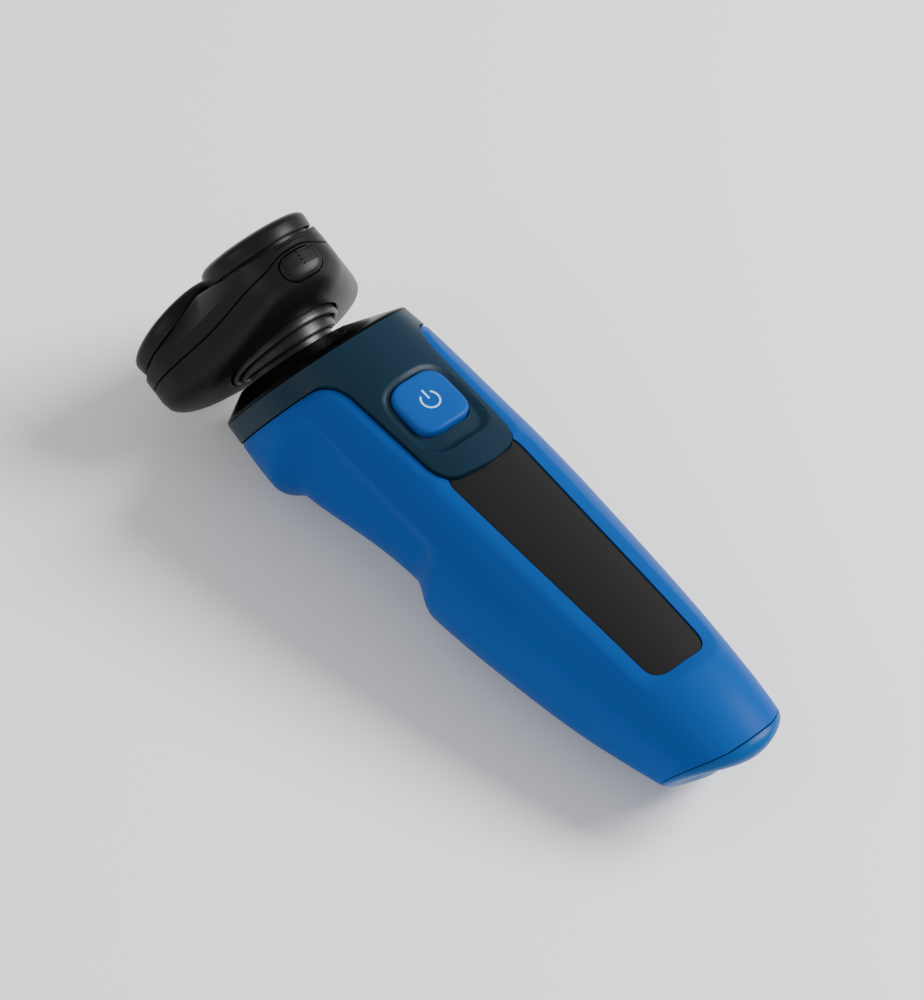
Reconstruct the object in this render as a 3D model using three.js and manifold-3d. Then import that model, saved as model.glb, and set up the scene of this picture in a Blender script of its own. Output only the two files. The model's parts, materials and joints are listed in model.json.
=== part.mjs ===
// Rotary electric shaver: a tapered handle, a flexing neck and a head with three shaving caps.
// Millimetres. The handle is laid out in its own frame, x from the shoulder to the foot,
// +y to the user's left hand side of the front, z = 0 on the flat front and negative towards the
// back. The whole is then pitched so that the back rests on the ground, z = 0.
import * as THREE from 'three';
import { mergeVertices } from 'three/addons/utils/BufferGeometryUtils.js';
import Module from 'manifold-3d';

const wasm = await Module();
wasm.setup();

// ---------------------------------------------------------------- driving dimensions
const DEG = Math.PI / 180;
const GAP = 0.3;
const WALL = 1.9;
const REST_PITCH = 9.54 * DEG;
const REST_POINT = { x: 5, z: -48 };
const REST_FLAT = 0.55;
const FOOT_X = 118.6;
const END_X = 122.4;
const FOOT_SWEEP = { from: 84, side: 3.4, back: 11 };
const GRIP = { from: 2, full: 9.5, ease: 41, to: 50, top: -8, deep: -15, side: 3.6, back: 6.6 };
const SOCKET = { x: 115.4, z: -15.8, halfWidth: 4.2, halfHeight: 2.5, depth: 9, pin: 4, wall: 0.9 };
const SHOULDER_TILT = 23 * DEG;
const COLLAR_DEPTH = 5.7;
const PLATEAU = { f: -32, rise: 4, radius: 13.4 };
const PIVOT_RISE = 7;
const NECK_TILT = 18 * DEG;
const HEAD_TILT = 13 * DEG;
const TONGUE = { half: 11.8, end: 39, corner: 5.5, root: { x: 2.4, y: 17.4 } };
const WINDOW = { start: 35.5, end: 98.2, half: 9.4, endHalf: 7.5, corner: 4.6, sink: 0.8, thick: 1.6 };
const BUTTON = { x: 21.4, half: 6.8, corner: 4.2, travel: 0.8, proud: 0.2 };
const DISH = { start: 13.3, end: 33, half: 8.9, corner: 6, depth: 1.0 };
const LOBE = { reach: 15, radius: 13.2, count: 3 };
const HEAD_Z = { collar: 1.5, under: 3.4, seam: 10.1, crown: 17.7 };
const CAP = { tilt: 10 * DEG, flange: 12.8, lift: 0.7, height: 2.6, opening: 11.9, slots: 10 };
const CUTTER = { radius: 8.6, blades: 7 };
const DRIVE = { teeth: 26, pinionTeeth: 14, module: 0.8, face: 3.2, top: -3.2 };
const HEAD_GEARS = { sunTeeth: 16, planetTeeth: 14, face: 2.2, floor: 5.5 };
const BATTERY = { radius: 8.4, from: 44, to: 93, z: -19.5 };
const MOTOR = { radius: 7.3, length: 19 };

// Handle sections: [x, value] pairs joined by smooth curves.
const HALF_WIDTH = [[-34, 18.5], [-12, 21], [8, 22.9], [30, 21.6], [55, 20.7], [80, 18.6], [105, 15.8], [122, 13.9]];
const FRONT = [[-34, 0], [60, 0], [92, -0.2], [108, -1.2], [122, -3.6]];
const BACK = [[-34, -44.5], [-14, -47.6], [1.5, -48.59], [20, -44.9], [38, -41.8], [54, -39.77], [84, -34.73],
  [105, -29.0], [122, -24.6]];
const WIDEST = [[-34, -25], [8, -26], [34, -20], [60, -19.5], [90, -17.5], [122, -15.5]];
const FRONT_POWER = 2.12;
const BACK_POWER = 2.0;

const FINISH = {
  blue: { color: 0x0a5ba0, roughness: 0.45, metalness: 0.0 },
  navy: { color: 0x16303f, roughness: 0.3, metalness: 0.3 },
  cyan: { color: 0x0f86c0, roughness: 0.35, metalness: 0.1 },
  black: { color: 0x0a0a0c, roughness: 0.35, metalness: 0.0 },
  lens: { color: 0x141414, roughness: 0.08, metalness: 0.0 },
  rubber: { color: 0x1a1b1d, roughness: 0.7, metalness: 0.0 },
  steel: { color: 0xb9bcc0, roughness: 0.3, metalness: 1.0 },
  nylon: { color: 0xd8d8d2, roughness: 0.5, metalness: 0.0 },
  board: { color: 0x1d5a3a, roughness: 0.6, metalness: 0.1 },
  cell: { color: 0x3b7d4e, roughness: 0.4, metalness: 0.0 },
};

// ---------------------------------------------------------------- solids
function solid(geometry) {
  const bare = geometry.index ? geometry.toNonIndexed() : geometry.clone();
  bare.deleteAttribute('normal');
  bare.deleteAttribute('uv');
  const merged = mergeVertices(bare, 1e-4);
  const index = merged.index.array;
  const kept = [];
  for (let i = 0; i < index.length; i += 3) {
    const [a, b, c] = [index[i], index[i + 1], index[i + 2]];
    if (a !== b && b !== c && a !== c) kept.push(a, b, c);
  }
  return new wasm.Manifold(new wasm.Mesh({
    numProp: 3,
    vertProperties: new Float32Array(merged.attributes.position.array),
    triVerts: new Uint32Array(kept),
  }));
}

function geometryOf(manifold) {
  const mesh = manifold.getMesh();
  const geometry = new THREE.BufferGeometry();
  geometry.setAttribute('position', new THREE.BufferAttribute(new Float32Array(mesh.vertProperties), 3));
  geometry.setIndex(new THREE.BufferAttribute(new Uint32Array(mesh.triVerts), 1));
  geometry.computeVertexNormals();
  return geometry;
}

function add(group, name, shape, finish) {
  const mesh = new THREE.Mesh(geometryOf(shape), new THREE.MeshStandardMaterial(FINISH[finish]));
  mesh.name = name;
  group.add(mesh);
  return mesh;
}

const cut = (body, ...tools) => tools.reduce((left, tool) => left.subtract(tool), body);
const join = (body, ...others) => others.reduce((sum, other) => sum.add(other), body);

function box(x0, x1, y0, y1, z0, z1) {
  const geometry = new THREE.BoxGeometry(x1 - x0, y1 - y0, z1 - z0);
  geometry.translate((x0 + x1) / 2, (y0 + y1) / 2, (z0 + z1) / 2);
  return solid(geometry);
}

// A turned solid about z from [radius, height] points, closed back to the first one.
function turned(points, segments = 32) {
  const outline = points.map(([r, h]) => new THREE.Vector2(r, h));
  outline.push(outline[0].clone());
  const geometry = new THREE.LatheGeometry(outline, segments);
  geometry.rotateX(Math.PI / 2);
  const shape = solid(geometry);
  return shape.volume() < 0 ? solid(flipped(geometry)) : shape;
}

function flipped(geometry) {
  const bare = geometry.toNonIndexed();
  const p = bare.attributes.position;
  for (let i = 0; i < p.count; i += 3) {
    const [x, y, z] = [p.getX(i + 1), p.getY(i + 1), p.getZ(i + 1)];
    p.setXYZ(i + 1, p.getX(i + 2), p.getY(i + 2), p.getZ(i + 2));
    p.setXYZ(i + 2, x, y, z);
  }
  return bare;
}

const disc = (radius, z0, z1, segments = 32) => turned([[0, z0], [radius, z0], [radius, z1], [0, z1]], segments);
const tube = (inner, outer, z0, z1, segments = 32) =>
  turned([[inner, z0], [outer, z0], [outer, z1], [inner, z1]], segments);

function prism(shape, z0, z1, curveSegments = 8) {
  const geometry = new THREE.ExtrudeGeometry(shape, { depth: z1 - z0, bevelEnabled: false, curveSegments });
  geometry.translate(0, 0, z0);
  return solid(geometry);
}

// A closed loft through rings of equal point counts, capped flat at both ends.
function loft(rings) {
  const count = rings[0].length;
  const positions = [];
  const push = (...corners) => corners.forEach((v) => positions.push(v.x, v.y, v.z));
  for (let r = 0; r + 1 < rings.length; r += 1) {
    for (let i = 0; i < count; i += 1) {
      const j = (i + 1) % count;
      push(rings[r][i], rings[r][j], rings[r + 1][j]);
      push(rings[r][i], rings[r + 1][j], rings[r + 1][i]);
    }
  }
  [rings[0], rings[rings.length - 1]].forEach((ring, last) => {
    const centre = ring.reduce((sum, v) => sum.add(v), new THREE.Vector3()).divideScalar(count);
    for (let i = 0; i < count; i += 1) {
      const j = (i + 1) % count;
      if (last) push(centre, ring[i], ring[j]);
      else push(centre, ring[j], ring[i]);
    }
  });
  const geometry = new THREE.BufferGeometry();
  geometry.setAttribute('position', new THREE.Float32BufferAttribute(positions, 3));
  const shape = solid(geometry);
  return shape.volume() < 0 ? solid(flipped(geometry)) : shape;
}

// Hermite curve through [x, value] pairs.
function smooth(pairs) {
  const slope = (i) => {
    const before = pairs[Math.max(i - 1, 0)];
    const after = pairs[Math.min(i + 1, pairs.length - 1)];
    return (after[1] - before[1]) / (after[0] - before[0]);
  };
  return (x) => {
    let i = 0;
    while (i < pairs.length - 2 && x > pairs[i + 1][0]) i += 1;
    const [x0, v0] = pairs[i];
    const [x1, v1] = pairs[i + 1];
    const h = x1 - x0;
    const t = Math.min(Math.max((x - x0) / h, 0), 1);
    const s = 1 - t;
    return v0 * s * s * (1 + 2 * t) + v1 * t * t * (1 + 2 * s) + h * s * t * (slope(i) * s - slope(i + 1) * t);
  };
}

// ---------------------------------------------------------------- frames
// A tilted frame: its z leans from the handle's -x towards the front by the given angle.
function frameMatrix(tilt, origin) {
  const m = new THREE.Matrix4().makeRotationY(tilt - Math.PI / 2);
  return m.setPosition(origin);
}

const shoulderMatrix = frameMatrix(SHOULDER_TILT, new THREE.Vector3());
const plateauCentre = new THREE.Vector3(PLATEAU.f, 0, PLATEAU.rise).applyMatrix4(shoulderMatrix);
const pivot = new THREE.Vector3(PLATEAU.f, 0, PIVOT_RISE).applyMatrix4(shoulderMatrix);
const neckBase = frameMatrix(SHOULDER_TILT, plateauCentre);
const neckMiddle = frameMatrix(NECK_TILT, pivot);
const headMatrix = frameMatrix(HEAD_TILT, pivot);

function group(parent, matrix) {
  const inner = new THREE.Group();
  inner.applyMatrix4(matrix);
  parent.add(inner);
  return inner;
}

const moved = (shape, matrix) => {
  const geometry = geometryOf(shape);
  geometry.applyMatrix4(matrix);
  return solid(geometry);
};

const turn = (angle, x = 0, y = 0, z = 0) =>
  new THREE.Matrix4().makeRotationZ(angle).setPosition(new THREE.Vector3(x, y, z));

// ---------------------------------------------------------------- handle shape
const halfWidth = smooth(HALF_WIDTH);
const front = smooth(FRONT);
const back = smooth(BACK);
const widest = smooth(WIDEST);

// How far a section near the foot is drawn back at its sides and towards the back.
function footSweep(x, side, z) {
  const t = Math.max((x - FOOT_SWEEP.from) / (END_X - FOOT_SWEEP.from), 0);
  return t * t * (FOOT_SWEEP.side * side * side + FOOT_SWEEP.back * Math.max(-z - 4, 0) / 24);
}

const ease = (t) => {
  const c = Math.min(Math.max(t, 0), 1);
  return c * c * (3 - 2 * c);
};

// Share of the full finger recess at a place along the handle.
const gripShare = (x) => ease((x - GRIP.from) / (GRIP.full - GRIP.from)) * ease((GRIP.to - x) / (GRIP.to - GRIP.ease));

// One cross-section of the handle, shrunk by an inset, as a ring of points.
function section(x, inset, count) {
  const a = halfWidth(x) - inset;
  const zw = widest(x);
  const up = front(x) - inset - zw;
  const down = zw - back(x) - inset;
  return Array.from({ length: count }, (_, i) => {
    const angle = (2 * Math.PI * (i + 0.5)) / count;
    const [c, s] = [Math.cos(angle), Math.sin(angle)];
    const power = s > 0 ? FRONT_POWER : BACK_POWER;
    const y = Math.sign(c) * a * Math.abs(c) ** (2 / power);
    const z = zw + Math.sign(s) * (s > 0 ? up : down) * Math.abs(s) ** (2 / power);
    const grip = gripShare(x) * ease((GRIP.top - z) / (GRIP.top - GRIP.deep));
    return new THREE.Vector3(x - footSweep(x, y / a, z), y - Math.sign(y) * grip * GRIP.side * Math.abs(c),
      z + grip * GRIP.back * s * s);
  });
}

const STATIONS = [-22, -10, -2, 2, 4.5, 7, 9.5, 20, 31, 41, 44, 47, 50, 54, 69, 84, 94, 103, 111];

function handleBody(inset, from, to, count = 30, every = 1) {
  const between = STATIONS.filter((x, i) => i % every === 0 && x > from + 0.5 && x < to - 0.5);
  const xs = [from, ...between, to];
  return loft(xs.map((x) => section(x, inset, count)));
}

const halfSpaceAbove = (matrix, height) => moved(box(-90, 60, -60, 60, height, height + 80), matrix);
const belowGround = (() => {
  const pitch = new THREE.Matrix4().makeRotationY(-REST_PITCH)
    .setPosition(new THREE.Vector3(REST_POINT.x, 0, REST_POINT.z));
  return moved(box(-80, 160, -60, 60, -30, REST_FLAT), pitch);
})();

function tongueShape(grow) {
  const { end, corner, root } = TONGUE;
  const half = TONGUE.half + grow;
  const tip = end + grow;
  const shape = new THREE.Shape();
  shape.moveTo(-14, -root.y - grow);
  shape.lineTo(root.x + grow, -root.y - grow);
  shape.quadraticCurveTo(root.x + 2 + grow, -half - 0.8, root.x + 9, -half - 0.3);
  shape.lineTo(tip - corner - 2, 0.5 - half);
  shape.quadraticCurveTo(tip - 1.2, 1 - half, tip - 0.7, corner - half);
  shape.quadraticCurveTo(tip + 0.6, 0, tip - 0.7, half - corner);
  shape.quadraticCurveTo(tip - 1.2, half - 1, tip - corner - 2, half - 0.5);
  shape.lineTo(root.x + 9, half + 0.3);
  shape.quadraticCurveTo(root.x + 2 + grow, half + 0.8, root.x + grow, root.y + grow);
  shape.lineTo(-14, root.y + grow);
  shape.closePath();
  return shape;
}

function roundedRect(x0, x1, half0, half1, corner) {
  const shape = new THREE.Shape();
  shape.moveTo(x0 + corner, -half0);
  shape.lineTo(x1 - corner, -half1);
  shape.quadraticCurveTo(x1, -half1, x1, -half1 + corner);
  shape.lineTo(x1, half1 - corner);
  shape.quadraticCurveTo(x1, half1, x1 - corner, half1);
  shape.lineTo(x0 + corner, half0);
  shape.quadraticCurveTo(x0, half0, x0, half0 - corner);
  shape.lineTo(x0, -half0 + corner);
  shape.quadraticCurveTo(x0, -half0, x0 + corner, -half0);
  return shape;
}

const windowPrism = (grow, z0 = -12, z1 = 4) => prism(roundedRect(
  WINDOW.start - grow, WINDOW.end + grow, WINDOW.half + grow, WINDOW.endHalf + grow, WINDOW.corner + grow), z0, z1);
const buttonPrism = (grow, z0, z1) => prism(roundedRect(
  BUTTON.x - BUTTON.half - grow, BUTTON.x + BUTTON.half + grow, BUTTON.half + grow, BUTTON.half + grow,
  BUTTON.corner + grow), z0, z1);

// ---------------------------------------------------------------- the object
const shaver = new THREE.Group();
const handle = new THREE.Group();
shaver.add(handle);

// The panel's share of the skin: the collar band round the top and the tongue down the front.
function panelRegion(grow) {
  const band = halfSpaceAbove(shoulderMatrix, -COLLAR_DEPTH - grow);
  return join(band, prism(tongueShape(grow), -9, 6));
}

function buildHandleShells() {
  const outer = handleBody(0, -34, FOOT_X);
  const inner = handleBody(WALL, -33, FOOT_X + 1, 18, 2);
  const aboveCrease = halfSpaceAbove(shoulderMatrix, 0);
  const skin = cut(outer, inner, aboveCrease, belowGround);
  const shell = cut(skin, panelRegion(GAP), windowPrism(GAP));
  add(handle, 'main_shell', largest(shell), 'blue');

  const dish = cut(prism(roundedRect(DISH.start, DISH.end, DISH.half, DISH.half, DISH.corner), -6, 8, 5),
    handleBody(DISH.depth, 4, 45, 30, 3));
  const buttonHole = buttonPrism(GAP, -12, 4);
  const panel = cut(skin.intersect(panelRegion(0)), dish, buttonHole, windowPrism(GAP).intersect(
    box(TONGUE.end, 120, -30, 30, -20, 20)));
  add(handle, 'front_panel', largest(panel), 'navy');

  const lensBand = cut(handleBody(WINDOW.sink, 30, 108), handleBody(WINDOW.sink + WINDOW.thick, 29, 109, 18));
  const clearOfTongue = prism(tongueShape(GAP), -9, 6);
  add(handle, 'display_window', largest(cut(lensBand.intersect(windowPrism(-GAP)), clearOfTongue)), 'lens');
}

// Booleans can leave slivers: keep the largest closed body.
function largest(shape) {
  return shape.decompose().sort((p, q) => q.volume() - p.volume())[0];
}

// Point where a ray in the shoulder plane leaves the handle's skin.
function creasePoint(angle, inset) {
  const origin = new THREE.Vector3(PLATEAU.f + 6, 0, 0);
  const along = new THREE.Vector3(Math.cos(angle), Math.sin(angle), 0);
  const inside = (t) => {
    const p = along.clone().multiplyScalar(t).add(origin).applyMatrix4(shoulderMatrix);
    const a = halfWidth(p.x) - inset;
    const zw = widest(p.x);
    const b = p.z > zw ? front(p.x) - inset - zw : zw - back(p.x) - inset;
    const power = p.z > zw ? FRONT_POWER : BACK_POWER;
    return Math.abs(p.y / a) ** power + Math.abs((p.z - zw) / b) ** power < 1;
  };
  let [low, high] = [0, 60];
  for (let i = 0; i < 40; i += 1) {
    const middle = (low + high) / 2;
    if (inside(middle)) low = middle;
    else high = middle;
  }
  return along.multiplyScalar(low).add(origin);
}

function buildShoulder() {
  const count = 36;
  const ring = (inset, z) => Array.from({ length: count }, (_, i) => {
    const p = creasePoint((2 * Math.PI * i) / count, inset);
    return new THREE.Vector3(p.x, p.y, z);
  });
  const circle = (radius, z) => Array.from({ length: count }, (_, i) => {
    const angle = (2 * Math.PI * i) / count;
    return new THREE.Vector3(PLATEAU.f + radius * Math.cos(angle), radius * Math.sin(angle), z);
  });
  const outside = loft([ring(0.05, GAP), circle(PLATEAU.radius, PLATEAU.rise)]);
  const neckHole = moved(disc(9.4, -8, 20, 28), turn(0, PLATEAU.f, 0, 0));
  const inside = loft([circle(PLATEAU.radius + 3, GAP - 1), circle(PLATEAU.radius - 1.6, PLATEAU.rise - 1.6)]);
  const shoulder = group(handle, shoulderMatrix);
  add(shoulder, 'shoulder_cap', cut(outside, inside, neckHole), 'black');

  const base = group(handle, neckBase);
  add(base, 'neck_base_ring', turned([[6.4, -1.2], [9.1, -1.2], [9.1, GAP], [10.0, GAP], [9.9, 1.6], [8.8, 2.0],
    [6.4, 2.0]], 22), 'rubber');
}

function buildFoot() {
  const cap = loft([section(FOOT_X + GAP, 0.05, 30), section(120.4, 0.3, 30), section(121.6, 1.4, 30),
    section(END_X, 3.2, 30)]);
  const spigot = cut(handleBody(WALL + 0.45, 111, FOOT_X + 1, 18), handleBody(WALL + 1.8, 110, FOOT_X - 1.4, 18));
  const { x, z, halfWidth: w, halfHeight: h, depth, pin, wall } = SOCKET;
  const mouth = box(x - depth - 3, x + 20, -w - wall - GAP, w + wall + GAP, z - h - wall - GAP, z + h + wall + GAP);
  add(handle, 'end_cap', largest(cut(join(cap, spigot), mouth)), 'cyan');
  const block = box(x - depth - 1.5, x, -w - wall, w + wall, z - h - wall, z + h + wall);
  const cavity = box(x - depth, x + 1, -w, w, z - h, z + h);
  const pins = [-2, 2];
  const holes = pins.map((y) => box(x - depth - 2, x - depth + 1, y - 0.75, y + 0.75, z - 0.75, z + 0.75));
  add(handle, 'charging_socket', cut(block, cavity, ...holes), 'black');
  pins.forEach((y, i) => add(handle, `socket_pin_${i + 1}`,
    box(x - depth - 2.4, x - depth + pin, y - 0.45, y + 0.45, z - 0.45, z + 0.45), 'steel'));
}

function buildPowerButton() {
  const crown = handleBody(-BUTTON.proud, 8, 36, 40).intersect(buttonPrism(0, -3.9, 4));
  const foot = buttonPrism(0.9, -4.8, -3.8);
  const stem = box(BUTTON.x - 1.5, BUTTON.x + 1.5, -1.5, 1.5, -5.4, -4.7);
  add(handle, 'power_button', join(crown, foot, stem), 'blue');
  const seal = cut(buttonPrism(2.2, -6.1, -5.6), box(BUTTON.x - 2.2, BUTTON.x + 2.2, -2.2, 2.2, -7, -5));
  add(handle, 'button_seal', seal, 'rubber');
  const body = box(BUTTON.x - 3, BUTTON.x + 3, -3, 3, -8.9, -7.0);
  add(handle, 'tact_switch', join(body, box(BUTTON.x - 1.2, BUTTON.x + 1.2, -1.2, 1.2, -7.1, -6.5)), 'steel');
}

function buildElectronics() {
  const board = cut(box(9, 97, -8.6, 8.6, -10.4, -9.2), box(8, 12.5, -9, 9, -12, -8));
  add(handle, 'circuit_board', board, 'board');
  const guide = cut(box(42, 96, -6.4, 6.4, -8.9, -4.4), ...[0, 1, 2, 3, 4].map((i) =>
    box(45 + 10 * i, 51 + 10 * i, -4.6, 4.6, -10, -4)));
  add(handle, 'light_guide', guide, 'nylon');
  const cell = new THREE.Matrix4().makeRotationY(Math.PI / 2).setPosition(new THREE.Vector3(0, 0, BATTERY.z));
  add(handle, 'battery_cell', moved(turned([[0, BATTERY.from], [BATTERY.radius, BATTERY.from],
    [BATTERY.radius, BATTERY.to - 1.4], [2.6, BATTERY.to - 1.4], [2.6, BATTERY.to], [0, BATTERY.to]], 28), cell), 'cell');
  [['battery_tab_minus', BATTERY.from - 0.9], ['battery_tab_plus', BATTERY.to + GAP]].forEach(([name, x]) => {
    add(handle, name, box(x, x + 0.6, -2.5, 2.5, -21.5, -10.75), 'steel');
  });
  const cradle = (x) => cut(
    box(x, x + 4, -12, 12, -24, -10.75),
    moved(disc(BATTERY.radius + GAP, -10, 130, 28), cell),
    box(x - 1, x + 5, -6, 6, -30, -20));
  const rails = [-11.6, 9.8].map((y) => box(30, 98, y, y + 1.8, -13.6, -9.0));
  const bridge = box(30, 33.5, -11.6, 11.6, -14.6, -10.75);
  add(handle, 'chassis', join(cradle(50), cradle(66), cradle(82), ...rails, bridge), 'black');
}

// ---------------------------------------------------------------- gears
// A spur gear about z: straight-flanked teeth with running clearance, and a bore.
function gear(teeth, module, z0, z1, bore, phase = 0) {
  const pitch = (teeth * module) / 2;
  const outer = pitch + 0.8 * module;
  const root = pitch - 1.15 * module;
  const shape = new THREE.Shape();
  const at = (radius, angle) => [radius * Math.cos(angle), radius * Math.sin(angle)];
  const step = (2 * Math.PI) / teeth;
  for (let i = 0; i < teeth; i += 1) {
    const middle = i * step + phase;
    [[root, -0.3], [outer, -0.12], [outer, 0.12], [root, 0.3]].forEach(([radius, share], k) => {
      const p = at(radius, middle + share * step);
      if (i === 0 && k === 0) shape.moveTo(...p);
      else shape.lineTo(...p);
    });
  }
  shape.closePath();
  const blank = prism(shape, z0, z1);
  return bore ? cut(blank, disc(bore, z0 - 1, z1 + 1, 20)) : blank;
}

function buildDrive() {
  const drive = group(handle, new THREE.Matrix4().copy(shoulderMatrix).multiply(turn(0, PLATEAU.f, 0, 0)));
  const { module, teeth, pinionTeeth, face, top } = DRIVE;
  const spacing = ((teeth + pinionTeeth) * module) / 2;
  add(drive, 'drive_gear', gear(teeth, module, top - face, top, 1.9), 'nylon');
  add(drive, 'drive_shaft', join(disc(1.6, -11, PIVOT_RISE - 1, 14), disc(1.4, PIVOT_RISE - 2, PIVOT_RISE + 2.6, 6)),
    'steel');
  const plate = box(-11.5, spacing + 6.5, -8, 8, top - face - 2.4, top - face - 0.6);
  const holes = [disc(3.2, -12, 0, 20), moved(disc(4.3, -12, 0, 20), turn(0, spacing, 0, 0))];
  add(drive, 'gearbox_plate', cut(plate, ...holes), 'black');
  add(drive, 'shaft_bush', tube(1.9, 2.9, top - face - 2.4, top - face - GAP, 20), 'steel');
  const motorFrame = group(drive, turn(0, spacing, 0, 0));
  const motorTop = top - face - 2.8;
  add(motorFrame, 'motor', join(cut(disc(MOTOR.radius, motorTop - MOTOR.length, motorTop, 28),
    disc(1.5, motorTop - MOTOR.length - 1, motorTop + 1, 16)), tube(1.5, 3.6, motorTop - 0.2, motorTop + 1.4, 20)), 'steel');
  const pinion = gear(pinionTeeth, module, top - face, top, 0, Math.PI / pinionTeeth);
  add(motorFrame, 'motor_pinion', join(pinion, disc(1.1, motorTop - 6, top - face + 1, 14)), 'steel');
}

// ---------------------------------------------------------------- neck and head
function buildNeck() {
  const middle = group(handle, neckMiddle);
  add(middle, 'neck_middle_ring', turned([[7.4, 0.5], [10.7, 0.5], [10.8, -1.5], [11.6, -1.5], [11.6, 0.6],
    [10.9, 1.2], [7.4, 1.2]], 24), 'rubber');
}

// Outline round the three lobes: the hull of three circles, as points at equal turning angles.
function lobeRing(radius, z, perLobe = 9) {
  const points = [];
  for (let lobe = 0; lobe < LOBE.count; lobe += 1) {
    const heading = (2 * Math.PI * lobe) / LOBE.count;
    for (let i = 0; i <= perLobe; i += 1) {
      const angle = heading + (2 * Math.PI / LOBE.count) * (i / perLobe - 0.5);
      points.push(new THREE.Vector3(
        LOBE.reach * Math.cos(heading) + radius * Math.cos(angle),
        LOBE.reach * Math.sin(heading) + radius * Math.sin(angle), z));
    }
  }
  return points;
}

const lobeHeading = (lobe) => (2 * Math.PI * lobe) / LOBE.count;

// Frame of one shaving cap: its origin on the cap's seam, its z leaning outwards.
function capMatrix(lobe) {
  const out = new THREE.Matrix4().makeRotationZ(lobeHeading(lobe));
  const place = new THREE.Matrix4().makeTranslation(LOBE.reach, 0, HEAD_Z.crown);
  const lean = new THREE.Matrix4().makeRotationY(CAP.tilt);
  return out.multiply(place).multiply(lean);
}

const HINGE = { x: -22.9, z: 10.25, radius: 1.6, pin: 0.75 };

function hingeKnuckle(y0, y1, z0, z1) {
  const barrel = new THREE.Matrix4().makeRotationX(Math.PI / 2).setPosition(new THREE.Vector3(HINGE.x, 0, HINGE.z));
  const bar = moved(disc(HINGE.radius, -y1, -y0, 16), barrel);
  return join(bar, box(HINGE.x, -19.4, y0, y1, z0, z1));
}

const pinBore = () => moved(disc(HINGE.pin + 0.3, -20, 20, 14),
  new THREE.Matrix4().makeRotationX(Math.PI / 2).setPosition(new THREE.Vector3(HINGE.x, 0, HINGE.z)));

function buildHairChamber(head) {
  const { collar, under, seam } = HEAD_Z;
  const outer = loft([lobeRing(2.5, collar + 0.4), lobeRing(9.6, under - 0.6), lobeRing(12.2, under + 1.2),
    lobeRing(LOBE.radius, under + 3.6), lobeRing(LOBE.radius, seam)]);
  const inner = loft([lobeRing(9, under + 1.6), lobeRing(LOBE.radius - 1.5, under + 3.6),
    lobeRing(LOBE.radius - 1.5, seam + 2)]);
  const neckHole = disc(3.4, -5, 12, 24);
  const underRecess = turned([[0, collar - 3], [14.4, collar - 3], [13.9, collar + 2.1], [0, collar + 2.1]], 26);
  const pocket = box(23.3, 32, -5.2, 5.2, seam - 5, seam + 2);
  const chamber = cut(outer, inner, underRecess, neckHole, pocket);
  const lugs = [hingeKnuckle(-6.2, -2.9, 7.5, 9.9), hingeKnuckle(2.9, 6.2, 7.5, 9.9)];
  const lidRoom = box(-30, 60, -40, 40, seam + 0.01, 40);
  const barrelRoom = cut(join(...lugs), box(-19.4, 60, -40, 40, -20, 40));
  add(head, 'hair_chamber', largest(cut(join(cut(chamber, lidRoom), barrelRoom), pinBore())), 'black');
  add(head, 'neck_upper_ring', turned([[12.5, 0.25], [13.3, 0.25], [13.1, 3.2], [12.5, 3.2]], 26), 'rubber');
}

function buildHolder(holder) {
  const { seam, crown } = HEAD_Z;
  const outer = loft([lobeRing(LOBE.radius, seam + GAP), lobeRing(LOBE.radius, crown - 4),
    lobeRing(LOBE.radius - 0.3, crown - 1), lobeRing(LOBE.radius - 0.9, crown + 8)]);
  const roofs = [0, 1, 2].map((lobe) => moved(box(-60, 60, -60, 60, 0, 60), capMatrix(lobe)));
  const inner = loft([lobeRing(LOBE.radius - 1.7, seam - 2), lobeRing(LOBE.radius - 1.7, crown - 4),
    lobeRing(LOBE.radius - 4, crown - 2.4)]);
  const openings = [0, 1, 2].map((lobe) => moved(disc(CAP.opening, -8, 12, 28), capMatrix(lobe)));
  const latchNotch = box(25.6, 32, -5.2, 5.2, seam - 1, seam + 0.8);
  const shellOfHolder = cut(outer, ...roofs, inner, ...openings, latchNotch);
  const lug = cut(hingeKnuckle(-2.6, 2.6, 10.6, 13.1), box(-19.5, 60, -40, 40, -20, 40));
  add(holder, 'head_holder', largest(cut(join(shellOfHolder, lug), pinBore())), 'black');
}

function buildHead(head) {
  buildHairChamber(head);
  add(head, 'hinge_pin', moved(disc(HINGE.pin, -6.0, 6.0, 14),
    new THREE.Matrix4().makeRotationX(Math.PI / 2).setPosition(new THREE.Vector3(HINGE.x, 0, HINGE.z))), 'steel');
  const { seam } = HEAD_Z;
  const face = join(box(26.6, 28.4, -4.8, 4.8, seam - 4.6, seam + 0.4), box(24.6, 26.7, -3.2, 3.2, seam - 4, seam - 1.4));
  const ribs = [-2, -0.8, 0.4, 1.6].map((z) => box(28.2, 28.7, -3.8, 3.8, seam - 2 + z, seam - 1.5 + z));
  add(head, 'release_button', join(face, ...ribs), 'black');
  buildHeadGears(head);
}

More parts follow.
